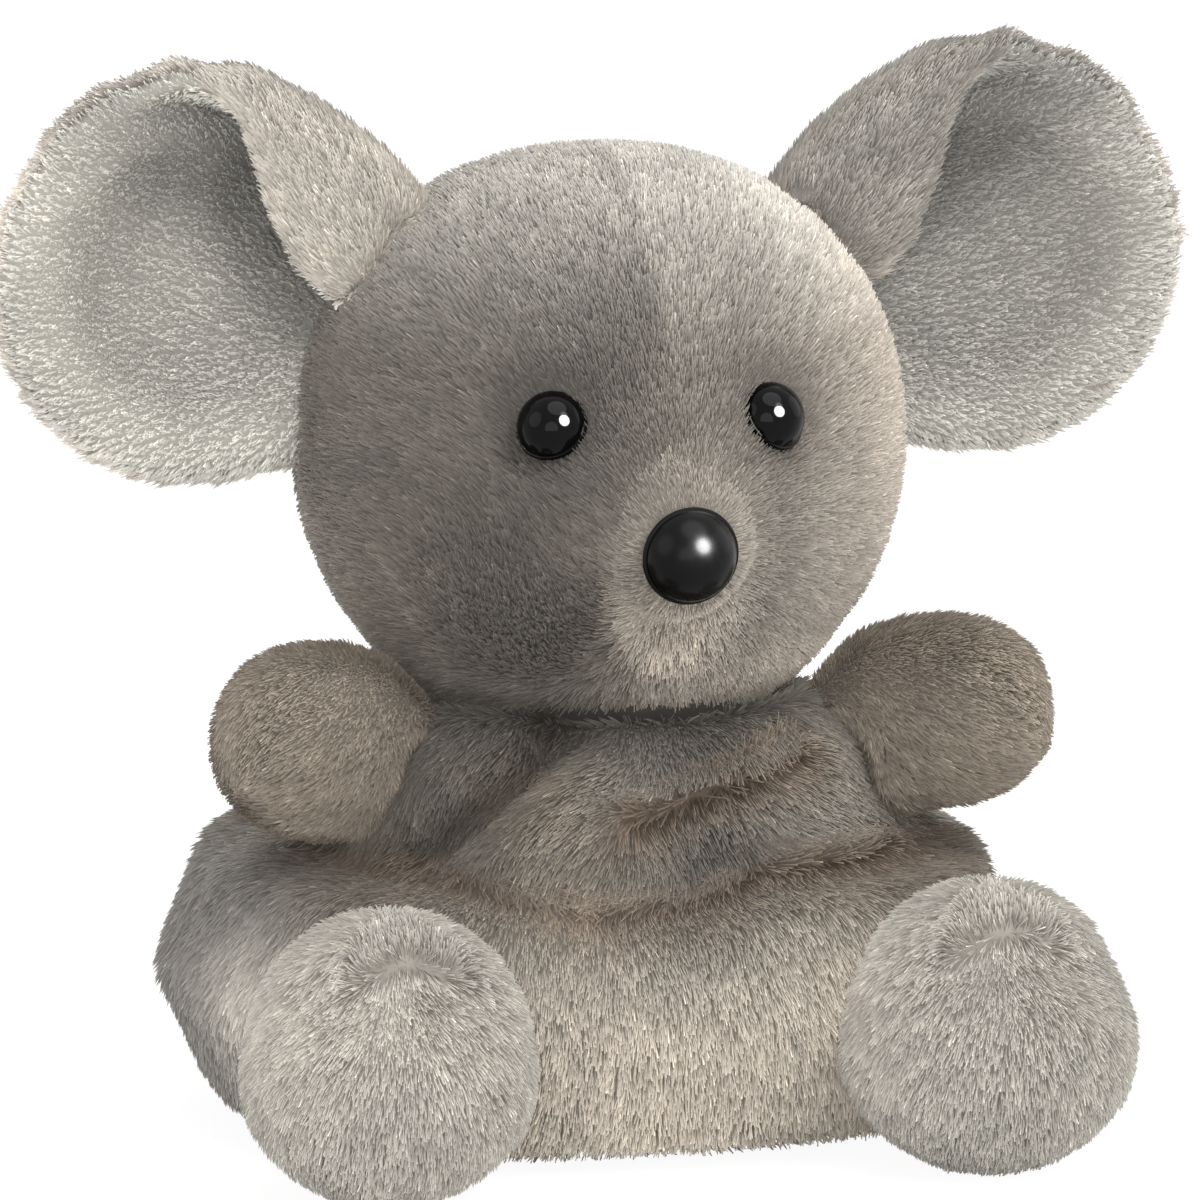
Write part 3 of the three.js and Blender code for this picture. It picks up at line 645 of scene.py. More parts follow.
eye_black = polished("eye_black", "#010101", 0.07, 0.02)
nose_black = polished("nose_black", "#020202", 0.26, 0.05)


def axis_of(part):
    ring = np.array([v.co for v in nodes[part + "_washer"].data.vertices]).mean(0)
    places = np.array([v.co for v in nodes[part].data.vertices])
    top = places[np.argmax(np.linalg.norm(places - ring, axis=1))]
    return Vector(top), Vector(top - ring).normalized()


def select_low(piece):
    bpy.ops.mesh.select_all(action="DESELECT")
    bpy.ops.object.mode_set(mode="OBJECT")
    lowest = min(v.co.z for v in piece.data.vertices)
    for face in piece.data.polygons:
        face.select = all(piece.data.vertices[i].co.z < lowest + 0.01 * MM for i in face.vertices)
    bpy.ops.object.mode_set(mode="EDIT")


def domed_plastic(part, across, height, finish):
    top, facing = axis_of(part)
    half, rise = across / 2 * MM, height * MM
    ball = (half * half + rise * rise) / (2 * rise)
    bpy.ops.object.select_all(action="DESELECT")
    bpy.ops.mesh.primitive_uv_sphere_add(segments=64, ring_count=48, radius=ball, location=(0, 0, -ball))
    piece = bpy.context.object
    piece.name = piece.data.name = part + "_dome"
    bpy.ops.object.transform_apply(location=True)
    bpy.ops.object.mode_set(mode="EDIT")
    bpy.ops.mesh.select_all(action="SELECT")
    bpy.ops.mesh.bisect(plane_co=(0, 0, -rise), plane_no=(0, 0, 1), clear_inner=True, use_fill=True)
    for drop, wider in RIM_STEM_WASHER:
        select_low(piece)
        step = (0, 0, -max(drop, LEAST_DROP) * MM)
        bpy.ops.mesh.extrude_region_move(TRANSFORM_OT_translate={"value": step})
        bpy.ops.transform.resize(value=(wider, wider, 1))
    bpy.ops.object.mode_set(mode="OBJECT")
    turned = SQUARE_ON.rotation_difference(facing).to_matrix().to_4x4()
    piece.matrix_world = Matrix.Translation(top) @ turned
    bpy.ops.object.transform_apply(location=True, rotation=True, scale=True)
    bpy.ops.object.shade_smooth_by_angle(angle=math.radians(40))
    piece.data.materials.append(finish)
    print(piece.name, "faces:", len(piece.data.polygons))
    return piece, np.array(top - facing * rise)


domes, seats = [], []
for part, across, height, finish, slot in (
    ("eye_left", 7.6, 3.0, eye_black, "eye_black"),
    ("eye_right", 7.6, 3.0, eye_black, "eye_black"),
    ("nose", 10.0, 4.2, nose_black, "nose_black"),
):
    dome, seat = domed_plastic(part, across, height, finish)
    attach(dome, "head")
    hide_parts(part, part + "_washer")
    domes.append(dome)
    seats.append(seat)
eye_seats, nose_seat = seats[:2], seats[2]

# %% [markdown]
# ## Head
# The face is two panels, joined down the forehead, and a third closes the back. The seams hold the skin down
# while the stuffing swells it. The chin, the muzzle behind the nose and the sockets of the eyes are then
# filled out a little more.

# %% Head skin
HEAD_PANELS = ["head_left_panel", "head_right_panel", "head_back_panel"]
SEAM_HALF = 1.6
BACK_SEAM_Y = 4
FOREHEAD_FROM = 82
NECK_BELOW = 48
MUZZLE_REACH = 17 * MM
head_middle = np.array(joints["head_turn"]["pos_m"])
head_skin = sewn_skin("head_skin", HEAD_PANELS + ["head_stuffing"], voxel=2.0, tuck=1.4)


def near(p, spot, inner, outer):
    share = ramp(np.linalg.norm(p - spot, axis=1) / MM, outer, inner)
    return share * share * (3 - 2 * share)


def swell(skin, share, height):
    places = points_of(skin)
    move_points(skin, places + normals_of(skin) * (share(places) * height * MM)[:, None])


def head_seams(p):
    x, y, z = p.T / MM
    forehead = (np.abs(x) < SEAM_HALF) & (y < BACK_SEAM_Y) & (z > FOREHEAD_FROM)
    behind = np.abs(y - BACK_SEAM_Y) < SEAM_HALF
    muzzle = np.linalg.norm(p - nose_seat, axis=1) < MUZZLE_REACH
    return forehead | behind | muzzle | (z < NECK_BELOW)


stuff(head_skin, head_seams, pressure=4, most=1.2)
swell(head_skin, lambda p: ramp(p[:, 2] / MM, 56, 46), height=1.2)
swell(head_skin, lambda p: near(p, nose_seat, 6, 11), height=2.1)
for seat in eye_seats:
    swell(head_skin, lambda p: near(p, seat, 4.2, 7.5), height=0.7)
name_panels(head_skin, HEAD_PANELS)

# %% [markdown]
# The pile lies away from the nose on all sides and is shortest round the nose and the eyes. One cheek is
# brushed up against it and is darker there, partly dye and partly painted shade. Behind the head it hangs
# down, and there is none over the hem of the neck. The brow is painted darker on one side and the sockets of
# the eyes get painted shade. The other cheek, the chin and the crown get painted light. The muzzle is paler,
# partly dye and partly painted light.

# %% Head pile
CHEEK = np.array((-20, -26, 58)) * MM
BRUSHED_UP = np.array((0.1, -0.7, 0.75))
HANGING_BEHIND = np.array((0, 0.6, -1.0))
HEAD_TINT = np.array((1.0, 0.965, 0.915))
# Tint of the painted light on the crown.
PAINTED_CROWN_LIGHT_TINT = np.array((0.9, 1.0, 1.1))
BARE_UNDER_DOMES = (3.0, 3.0, 3.8)
HEM_REACH = 17.5
HEAD_LOOKS = dict(run=2.0, rise=1.2, unruly=0.55, wave=4, tuft=1.2, gather=0.06)


def head_nap(p):
    behind = ramp(p[:, 1] / MM, -4, 16)[:, None]
    brushed = 0.75 * near(p, CHEEK, 4, 30)[:, None]
    flow = unit(p - nose_seat) * (1 - brushed) + BRUSHED_UP * brushed
    return flow * (1 - behind) + HANGING_BEHIND * behind


def head_length(p):
    short = 1 - 0.42 * near(p, nose_seat, 6, 24)
    for seat in eye_seats:
        short = short * (1 - 0.45 * near(p, seat, 4, 8))
    return short


def head_lie(p):
    return 1 - 0.2 * near(p, CHEEK, 6, 26)


def head_cover(p):
    x, y, z = p.T / MM
    over_hem = (y > 2) & (z < 52) & (np.hypot(x, y) < HEM_REACH)
    cover = 1.0 - over_hem
    for seat, reach in zip(seats, BARE_UNDER_DOMES):
        cover[np.linalg.norm(p - seat, axis=1) < reach * MM] = 0
    return cover


def head_dye_and_painted_light(p):
    x, y, z = p.T / MM
    aside, back_from, above = (p - nose_seat).T / MM
    reach = np.hypot((aside - 2.2) / 9.2, (above + 1.8) / 12.3)
    edge = 0.16 + 0.5 * ramp(aside, 0, 8)
    muzzle = np.clip((1.08 - reach) / edge, 0, 1) * (back_from < 16)
    # The muzzle is paler, partly dye and partly painted light, and below the nose it is painted lighter still.
    muzzle_dye_and_light = 1 + muzzle * (0.55 + 0.65 * ramp(above, -3, -9))
    # The brushed-up cheek is darker, partly dye and partly painted shade. The eye sockets get painted shade.
    cheek_dye_and_shade = 1 - 0.28 * near(p, CHEEK, 4, 28)
    for seat in eye_seats:
        cheek_dye_and_shade = cheek_dye_and_shade * (1 - 0.22 * near(p, seat, 4, 8))
    # Painted shade on the brow on the viewer's left of the seam; painted light on the face to the right and
    # chin.
    fading = 3 + 0.5 * np.clip(90 - z, 0, 40)
    painted_brow_shade = np.clip((1.5 - x) / fading, 0, 1) * ramp(z, 60, 74) * np.maximum(ramp(z, 111, 89), 0.3)
    painted_chin_light = ramp(z, 58, 50) * ramp(x, -5, 1)
    across = (1 - 0.38 * painted_brow_shade) * (1 + 0.85 * ramp(x, 10, 28)) * (1 + 0.9 * painted_chin_light)
    # The forehead seam is a dark line, with a faint painted sheen on the pile beside it.
    seam_line, painted_sheen_beside_seam = np.exp(-(((x + 0.5) / 0.7) ** 2)), np.exp(-(((x - 1.2) / 1.2) ** 2))
    seam = 1 + ramp(z, 80, 88) * (y < BACK_SEAM_Y) * (0.06 * painted_sheen_beside_seam - 0.2 * seam_line)
    # Painted light on the crown. All of these marks fade out towards the back of the head.
    facing = ramp(y, 12, -4)
    painted_crown_light = (0.4 + 0.65 * facing) * ramp(z, 86, 102)
    tint = HEAD_TINT * (1 + painted_crown_light[:, None] * PAINTED_CROWN_LIGHT_TINT)
    return tint * (1 + facing * (muzzle_dye_and_light * cheek_dye_and_shade * across * seam - 1))[:, None]


comb(head_skin, head_nap, head_dye_and_painted_light, head_length, head_cover, head_lie)
head_coats = []
for panel, (density, width) in enumerate(((14, 0.12), (14, 0.12), (6.1, 0.16))):
    title = HEAD_PANELS[panel].replace("panel", "pile")
    head_coats.append(grow_pile(
        head_skin, title, panel, head_plush, density=density, width=width, seed=21 + panel, **HEAD_LOOKS))

# %% [markdown]
# ## Body
# A wide cushion of beans carries a narrower chest. The side seams, the neck and the edge of the flat base
# hold the skin while it is stuffed. Its top is then lowered to a shallow dome, with room for the head.

# %% Body skin
BODY_PANELS = ["belly_panel", "chest_panel", "back_panel", "base_panel"]
BASE_BELOW = 5.1
SIDE_SEAM_Y = 6
NECK_REACH = 36 * MM
RIM_HEIGHT = 47.6
RIM_REACH = 15
DOME_FALL = 24
body_skin = sewn_skin("body_skin", BODY_PANELS + ["body_stuffing"], voxel=2.2, tuck=1.5)


def body_seams(p):
    y, z = p.T[1:] / MM
    sides = (np.abs(y - SIDE_SEAM_Y) < 1.8) & (z < 40)
    neck = np.linalg.norm(p - head_middle, axis=1) < NECK_REACH
    return sides | neck | (z < BASE_BELOW)


stuff(body_skin, body_seams, pressure=4, most=1.5)
swell(body_skin, lambda p: near(p, head_middle, 32, 40) * (1 + ramp(p[:, 1] / MM, 0, 12)), height=1.0)
places = points_of(body_skin)
x, y, z = places.T / MM
behind = ramp(y, -8, 8)
rim = RIM_HEIGHT + 3 * behind + 2 * (x / 22) ** 2
beyond = np.maximum(np.hypot(0.75 * x, y) - RIM_REACH - 3 * behind, 0)
places[:, 2] = np.where(z > 36, np.minimum(z, rim - beyond ** 2 / DOME_FALL), z) * MM
move_points(body_skin, places)
ease(body_skin, 3)

# %% [markdown]
# The belly is sewn to the chest in a line that sags in the middle, and the slack chest above it lies in one
# deep fold, with a soft lobe beside it and a hollow below. Each is pressed into the front of the skin along a
# line, given by its distance to the left and its height. A fold is its line, its depth and its width.

# %% Folds of the chest
BELLY_SEAM = [(-34, 33), (-23, 32), (-9, 28.6), (5, 30), (11, 32), (26, 31.5), (36, 31)]
CHEST_FOLD = [(-8, 48), (-13, 44), (-19, 39), (-23, 35)]
LOBE = [(-12, 41), (-9, 37)]
LOBE_SEAM = [(-4, 38), (2, 39.5), (9, 41.5), (16, 43)]
HOLLOW = [(3, 35), (9, 35.5)]
FOLDS = [
    (LOBE, -2.0, 6.0), (BELLY_SEAM, 1.8, 2.4), (CHEST_FOLD, 4.2, 2.6), (LOBE_SEAM, 1.6, 2.0),
    (HOLLOW, 2.2, 4.0),
]


def away_from(p, line):
    flat = p[:, [0, 2]] / MM
    best, off = np.full(len(p), np.inf), np.zeros((len(p), 2))
    for start, end in zip(line[:-1], line[1:]):
        start, step = np.array(start), np.array(end) - np.array(start)
        share = np.clip((flat - start) @ step / (step @ step), 0, 1)
        apart = flat - start - share[:, None] * step
        length = np.linalg.norm(apart, axis=1)
        nearer = length < best
        best[nearer], off[nearer] = length[nearer], apart[nearer]
    way = np.stack([off[:, 0], np.zeros(len(p)), off[:, 1]], 1)
    return best, unit(way)


def press(skin, line, depth, width):
    places, ways = points_of(skin), normals_of(skin)
    front = ramp(ways[:, 1], 0.3, -0.2) * (places[:, 1] < 0)
    away = away_from(places, line)[0]
    move_points(skin, places - ways * (front * depth * MM * np.exp(-((away / width) ** 2)))[:, None])


for line, depth, width in FOLDS:
    press(body_skin, line, depth, width)
ease(body_skin, 1)
name_panels(body_skin, BODY_PANELS)

# %% [markdown]
# The pile hangs down and outwards, sweeps sideways over the lobe and the lap beside it, and parts along the
# seams. It is the most mottled of all: pale on the belly, partly dye and partly painted light, with painted
# shade under the chin, on the chest and beside the folds. It is dark along the seams and in the folds, partly
# seam colour and partly painted shade.

# %% Body pile
BODY_TINT = np.array((0.98, 0.965, 0.94))
FLANK_TINT = np.array((0, 0.04, 0.1))
# Spots beside the chest fold and beside the belly that get painted shade.
SHADE_BESIDE_FOLD = np.array((-21, -20, 42)) * MM
SHADE_BESIDE_BELLY = np.array((-33, -14, 30)) * MM
# Belly seam: darker, partly seam colour, partly painted shade in its crease. Chest fold, hollow: painted shade.
SEAM_DYES_AND_FOLD_SHADE = [
    (BELLY_SEAM, 2.8, (0.72, 0.62, 0.55)), (CHEST_FOLD, 2.6, (0.42, 0.39, 0.36)),
    (LOBE_SEAM, 2.0, (0.98, 0.82, 0.7)), (HOLLOW, 4.0, (0.7, 0.7, 0.72)), (LOBE, 5.0, (0.98, 0.93, 0.88)),
]
BODY_LOOKS = dict(width=0.14, unruly=0.65, wave=5, tuft=1.6, gather=0.08)


def patch_at(p, x, z, wide, high):
    return np.exp(-((p[:, 0] / MM - x) / wide) ** 2 - ((p[:, 2] / MM - z) / high) ** 2)[:, None]


def body_nap(p):
    front = (p[:, 1] < 0)[:, None]
    flow = np.array((0, 0, -1.0)) + 0.5 * unit(p * np.array((1, 1, 0)))
    for share, sweep in (
        (patch_at(p, -11, 40, 9, 7) * front, (-0.9, -0.2, -0.6)),
        (patch_at(p, 22, 38, 16, 6) * front, (0.9, 0, -0.35)),
    ):
        flow = flow * (1 - share) + share * np.array(sweep)
    for line, reach in ((BELLY_SEAM, 3.0), (LOBE_SEAM, 4.0)):
        away, off = away_from(p, line)
        flow = flow + front * off * 1.2 * np.exp(-((away / reach) ** 2))[:, None]
    return flow


def body_dye_and_painted_light(p):
    x, y, z = p.T / MM
    front = (y < 0) * 1.0
    # The belly is paler, partly dye and partly painted light; chest, under the chin and beside folds: painted
    # shade.
    pale_belly_and_light = ramp(z, 29, 18) * ramp(y, 0, -15)
    painted_chest_shade = ramp(z, 30, 34) * front
    flank = ramp(x, -32, -40)
    painted_shade_under_chin = near(p, head_middle, 30, 44)
    painted_shade_beside_folds = near(p, SHADE_BESIDE_FOLD, 4, 14) + 0.8 * near(p, SHADE_BESIDE_BELLY, 3, 12)
    shade = (1 + 0.75 * pale_belly_and_light - 0.25 * painted_chest_shade + 0.05 * flank) * (1 - 0.4 * painted_shade_under_chin) * (1 - 0.3 * painted_shade_beside_folds)
    tint = (BODY_TINT + flank[:, None] * FLANK_TINT) * shade[:, None]
    for line, width, colour in SEAM_DYES_AND_FOLD_SHADE:
        share = (front * np.exp(-((away_from(p, line)[0] / width) ** 2)))[:, None]
        tint = tint * (1 - share + share * np.array(colour))
    return tint


def body_length(p):
    return 1 - 0.15 * near(p, head_middle, 34, 40) * (p[:, 1] < 0)


comb(body_skin, body_nap, body_dye_and_painted_light, body_length)
body_coats = []
for panel, (density, run, rise) in enumerate(((10, 2.6, 1.3), (13, 2.6, 1.3), (5, 2.6, 1.3), (1.2, 1, 1))):
    title = BODY_PANELS[panel].replace("panel", "pile")
    body_coats.append(grow_pile(
        body_skin, title, panel, body_plush, density=density, run=run, rise=rise, seed=31 + panel,
        **BODY_LOOKS))

# %% [markdown]
# ## Arms, feet and tail
# Each limb is a small stuffed ball or tube that is sewn on by its root. Its skin runs on into the body, so
# that no gap shows at its root.

# %% Limb helpers
SIDES = ((1, "left"), (-1, "right"))
soft = []


def sew_into(skin, host, reach, depth):
    tree = tree_of(host)
    places = points_of(skin)
    for i, place in enumerate(places):
        spot, way, _, _ = tree.find_nearest(Vector(place))
        apart = (Vector(place) - spot).dot(way) / MM
        if apart < reach:
            share = min(1, (reach - apart) / reach)
            share = share * share * (3 - 2 * share)
            places[i] -= np.array(way) * share * (max(apart, 0) + depth) * MM
    move_points(skin, places)


def heading(azimuth, elevation, side):
    a, e = math.radians(azimuth), math.radians(elevation)
    return np.array((side * math.cos(e) * math.sin(a), -math.cos(e) * math.cos(a), math.sin(e)))


def sew_on(pieces):
    for piece in pieces:
        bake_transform(piece)


def dress(skin, coats, panels, filling, slot, fill):
    if filling:
        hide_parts(*filling)
    for coat, node in zip(coats, panels):
        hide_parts(node)
    soft.append((skin, fill, slot))


def limb(name, panels, filling, finish, voxel, tuck, seams, nap, dye, looks, shape=None):
    skin = sewn_skin(name + "_skin", panels + filling, voxel, tuck, times=4)
    sew_into(skin, body_skin, reach=7, depth=2)
    stuff(skin, seams, pressure=4, most=1.0)
    if shape:
        shape(skin)
    name_panels(skin, panels)
    comb(skin, nap, dye)
    coats = [grow_pile(skin, node + "_pile", panel, finish, **looks) for panel, node in enumerate(panels)]
    return skin, coats


# %% Arms
ARM_AZIMUTH, ARM_ELEVATION = 60, 8
ARM_DROOP = np.array((0, 0, -0.5))
ARM_DYE = np.array((0.9, 0.84, 0.77))
ARM_LOOKS = dict(
    density=13, run=1.4, rise=1.1, width=0.12, unruly=0.7, wave=4, tuft=1.3, gather=0.1, seed=41)
for side, hand in SIDES:
    arm = "arm_" + hand
    shoulder = np.array(joints[arm + "_swing"]["pos_m"])
    arm_way = heading(ARM_AZIMUTH, ARM_ELEVATION, side)
    panels, filling = [arm + "_palm", arm + "_back"], [arm + "_stuffing"]
    skin, coats = limb(
        arm, panels, filling, body_plush, voxel=1.6, tuck=1.3,
        seams=lambda p: (p - shoulder) @ arm_way < 4 * MM,
        nap=lambda p: np.tile(arm_way + ARM_DROOP, (len(p), 1)), dye=lambda p: ARM_DYE, looks=ARM_LOOKS)
    sew_on([skin] + coats)
    dress(skin, coats, panels, filling, "body_fur", fill=0.7)

# %% [markdown]
# A foot is pinched along an arch across its instep, and sags a little wider towards the ground. Its pile
# spreads away from the arch on both sides, up over the instep and down over the sole.

# %% Feet
FOOT_RADIUS = 15 * MM
ARCH_TURN, ARCH_TOP, ARCH_DROP = 34, 50, 12
PINCH_DEPTH, PINCH_WIDTH = 2.1, 2.4
# Painted shade in the crease of the pinch.
PINCH_PAINTED_SHADE = np.array((0.7, 0.74, 0.78))
WIDER_BELOW = 0.09
FOOT_LOOKS = dict(
    density=12.5, run=1.9, rise=1.4, width=0.13, unruly=0.65, wave=5, tuft=1.4, gather=0.06, seed=51)
for side, hand in SIDES:
    foot = "foot_" + hand
    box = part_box(foot + "_stuffing")
    ball = (np.array(box[0]) + np.array(box[1])) / 2
    arch = np.array([
        ball + heading(ARCH_TURN * t, ARCH_TOP - ARCH_DROP * t * t, side) * FOOT_RADIUS
        for t in np.linspace(-1, 1, 15)])

    def from_arch(p):
        return np.linalg.norm(p[:, None, :] - arch[None, :, :], axis=2).min(axis=1) / MM

    def pinch(skin):
        places = points_of(skin)
        depth = PINCH_DEPTH * np.exp(-((from_arch(places) / PINCH_WIDTH) ** 2))
        places = places - normals_of(skin) * depth[:, None] * MM
        low = ramp((places[:, 2] - ball[2]) / MM, 3, -7)
        places[:, 0] += WIDER_BELOW * low * (places[:, 0] - ball[0])
        move_points(skin, places)

    def above_arch(p):
        off = p - ball
        turn = np.degrees(np.arctan2(side * off[:, 0], -off[:, 1])) / ARCH_TURN
        height = FOOT_RADIUS * np.sin(np.radians(ARCH_TOP - ARCH_DROP * np.minimum(turn ** 2, 5)))
        middle = np.clip(1.8 - np.abs(turn), 0, 1)
        return (np.tanh((off[:, 2] - height) / (1.5 * MM)) * middle - (1 - middle))[:, None]

    def foot_nap(p):
        fan = (p - ball) * np.array((0.5, 0, 0)) / FOOT_RADIUS
        return fan + np.array((0, 0, 1.0)) * above_arch(p)

    def foot_dye_and_painted_shade(p):
        # Painted shade darkens the pinch's crease. The viewer's right foot is paler above its arch, the other
        # below it.
        pinched = np.exp(-((from_arch(p) / 1.5) ** 2))[:, None]
        return (0.96 + side * (0.02 + 0.055 * above_arch(p))) * (1 - pinched * PINCH_PAINTED_SHADE)

    panels, filling = [foot + "_sole", foot + "_instep"], [foot + "_stuffing"]
    skin, coats = limb(
        foot, panels, filling, foot_plush, voxel=1.7, tuck=1.6,
        seams=lambda p: (from_arch(p) < 2.5) | (p[:, 2] < 3 * MM),
        nap=foot_nap, dye=foot_dye_and_painted_shade, looks=FOOT_LOOKS, shape=pinch)
    sew_on([skin] + coats)
    dress(skin, coats, panels, filling, "foot_fur", fill=0.75)

# %% [markdown]
# The tail is a thin tube low on the back. Its root is drawn a little further in, so that it comes out of the
# pile there and not out of a hole.

# %% Tail
TAIL_DYE = np.array((1.1, 1.08, 1.05))
TAIL_LOOKS = dict(
    density=13, run=1.3, rise=0.8, width=0.13, unruly=0.5, wave=4, tuft=1.3, gather=0.1, seed=61)
ROOT_DEPTH = 3 * MM
rump = np.array(joints["tail_swing"]["pos_m"])
tail_way = np.array((0, 1.0, 0))


def root_tail(skin):
    places = points_of(skin)
    places[:, 1] -= ROOT_DEPTH * ramp((places[:, 1] - rump[1]) / MM, 5, 0)
    move_points(skin, places)


skin, coats = limb(
    "tail", ["tail"], [], body_plush, voxel=0.9, tuck=0.7, seams=lambda p: p[:, 1] < rump[1] + 2 * MM,
    nap=lambda p: unit(p - rump + tail_way * 14 * MM), dye=lambda p: TAIL_DYE, looks=TAIL_LOOKS,
    shape=root_tail)
sew_on([skin] + coats)
dress(skin, coats, ["tail"], [], "body_fur", fill=0.5)

# %% [markdown]
# ## Ears
# An ear is two panels, fur behind and a shorter lining in front whose pile stands in small tufts, turned and
# sewn flat at the root. It cups forward, and its inner edge folds over. Only a little stuffing is in it, so
# it swells least. Its open rim is puffed out and its fold rounded before that.

# %% Ears
EAR_RISE = math.radians(22.5)
FOLD_TILT = math.radians(33)
EAR_SHRUNK = np.array((0.955, 1.0, 0.955))
EAR_SETBACK = np.array((0, 3, 0)) * MM
ROOT_AWAY, MIDDLE_AWAY = 30 * MM, 17 * MM
RIM_PUFF, FOLD_BULGE = 1.2 * MM, 2.4 * MM
# Painted light: the ear on the viewer's left, and its lip, are painted paler than the other ear.
EAR_AND_LIP_PAINTED_LIGHT = {1: (0.92, 0.79), -1: (1.08, 1.28)}
EAR_TINT = np.array((1, 1, 1.01))
OUTER_LOOKS = dict(
    density=12, run=1.8, rise=1.1, width=0.13, unruly=0.6, wave=4, tuft=1.3, gather=0.12, seed=71)
LINING_LOOKS = dict(
    density=13, run=0.8, rise=0.9, width=0.15, unruly=0.45, wave=3, tuft=0.9, gather=0.8, seed=72)


def over_fold(side):
    return np.array((-side * math.sin(FOLD_TILT), 0, math.cos(FOLD_TILT)))


def puff_rim(skin, middle, side):
    places, ways = points_of(skin), normals_of(skin)
    off = (places - middle) / MM
    out = np.linalg.norm(off[:, [0, 2]], axis=1)
    open_rim = ramp(off @ over_fold(side), 13, 9)
    forward = np.where(ways[:, 1] < 0, 1.0, 0.6)
    swelling = RIM_PUFF * np.exp(-(((out - 17) / 5) ** 2))
    move_points(skin, places + ways * (open_rim * forward * swelling)[:, None])


def round_fold(skin, middle, side):
    places = points_of(skin)
    off = (places - middle) / MM
    along_fold = np.array((side * math.cos(FOLD_TILT), 0, math.sin(FOLD_TILT)))
    bulge = ramp(off @ over_fold(side), 7, 15) * np.clip(1 - (off @ along_fold / 17) ** 2, 0, 1)
    move_points(skin, places + over_fold(side) * (FOLD_BULGE * bulge)[:, None])


for side, hand in SIDES:
    ear = "ear_" + hand
    outward = np.array((side * math.cos(EAR_RISE), 0, math.sin(EAR_RISE)))
    ear_root = head_middle + EAR_SETBACK + outward * ROOT_AWAY
    ear_middle = ear_root + outward * MIDDLE_AWAY
    panels = [ear + "_back", ear + "_lining"]
    skin = sewn_skin(ear + "_skin", panels, voxel=1.0, tuck=0.5, times=3)
    move_points(skin, ear_middle + (points_of(skin) - ear_middle) * EAR_SHRUNK)
    puff_rim(skin, ear_middle, side)
    round_fold(skin, ear_middle, side)
    ease(skin, 6)
    sew_into(skin, head_skin, reach=8, depth=2.5)
    stuff(skin, lambda p: (p - ear_root) @ outward < 6 * MM, pressure=3, most=0.6)
    name_panels(skin, panels)
    painted_ear_light, painted_lip_light = EAR_AND_LIP_PAINTED_LIGHT[side]

    def ear_dye_and_painted_light(p):
        off = (p - ear_middle) / MM
        beyond = off @ over_fold(side)
        forward, behind = ramp(off[:, 1], 0, -3), ramp(off[:, 1], 0, 2)
        folded = forward * ramp(beyond, 4, 8)
        # Painted shade towards the fold, on the side of the ear that faces back.
        shaded = 0.34 * (1 - forward) * ramp(beyond, 1, 8)
        rim = ramp(np.linalg.norm(off[:, [0, 2]], axis=1), 13, 17) * (1 - folded)
        hemmed = forward * np.exp(-(((beyond - 5) / 1.6) ** 2))
        # Painted light on the rim, more on its back, and on the edge of the fold.
        painted_edge_light = 1 + 0.2 * rim + 0.35 * rim * behind + 0.3 * hemmed
        level = (painted_ear_light + (painted_lip_light - painted_ear_light) * folded) * (1 - shaded) * painted_edge_light
        return level[:, None] * EAR_TINT

    comb(skin, lambda p: unit(p - ear_root + outward * 8 * MM), ear_dye_and_painted_light)
    outer = grow_pile(skin, ear + "_back_pile", 0, ear_plush, **OUTER_LOOKS)
    inner = grow_pile(skin, ear + "_lining_pile", 1, lining_plush, **LINING_LOOKS)
    sew_on([skin, outer, inner])
    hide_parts(ear + "_back")
    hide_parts(ear + "_lining")
    soft.append((skin, 0.3, "lining_fur"))

# %% [markdown]
# ## Neck hem
# Head and body are sewn together on a turned-in hem that hardly shows. It is the imported ring, rounded off and
# drawn up to the chin as a short sleeve, painted dark as shade under the chin.

# %% Neck hem
HEM_LOW, HEM_HIGH = 44.8, 45.7
HEM_WIDER = 1.04
HEM_LIFT = 2.8 * MM
# The sleeve is painted dark, as shade under the chin.
HEM_PAINTED_SHADE = 0.34
hem = sewn_skin("neck_hem", ["neck_ring"], voxel=0.7, tuck=0.1, times=3)
places = points_of(hem)
places[:, :2] *= HEM_WIDER
places[:, 2] += HEM_LIFT * ramp(places[:, 2] / MM, HEM_LOW, HEM_HIGH)
move_points(hem, places)
keep_on(hem, "dye", "FLOAT_VECTOR", "POINT", np.full((len(places), 3), HEM_PAINTED_SHADE, np.float32))
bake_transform(hem)
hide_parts("neck_ring")
soft.append((hem, 0.4, "thread"))

# %% [markdown]
# ## Putting it together
# The head's pieces ride on the head and the body's on the body. Each skin takes the finish of its pile with its
# dye and painted light and shade, painted darker as near the roots, and stands for the stuffing in it. The
# ground presses the fibres on the underside flat.

# %% Bodies and slots
BACKINGS = {
    "head_fur": head_plush, "body_fur": body_plush, "foot_fur": foot_plush, "lining_fur": lining_plush,
    "thread": body_plush,
}
# The skins show the pile's colour near its roots, painted darker as shade deep in the pile.
BACKING_LOOKS = (("along", 0.35), ("tone", 0.5), ("tuft", 0.5))
LOWEST = 0.05 * MM
for piece in [head_skin] + head_coats:
    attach(piece, "head")
for piece in [body_skin] + body_coats:
    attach(piece, "body")
dress(head_skin, head_coats, HEAD_PANELS, ["head_stuffing"], "head_fur", fill=0.8)
dress(body_skin, body_coats, BODY_PANELS, ["body_stuffing", "bean_pouch"], "body_fur", fill=0.55)
for skin, fill, slot in soft:
    skin.data.materials.clear()
    skin.data.materials.append(BACKINGS[slot])
    for kept_name, value in BACKING_LOOKS:
        keep_on(skin, kept_name, "FLOAT", "POINT", np.full(len(skin.data.vertices), value, np.float32))
    pick(skin)
    bpy.ops.object.shade_smooth()
bpy.data.objects.remove(fibre)
faces = 0
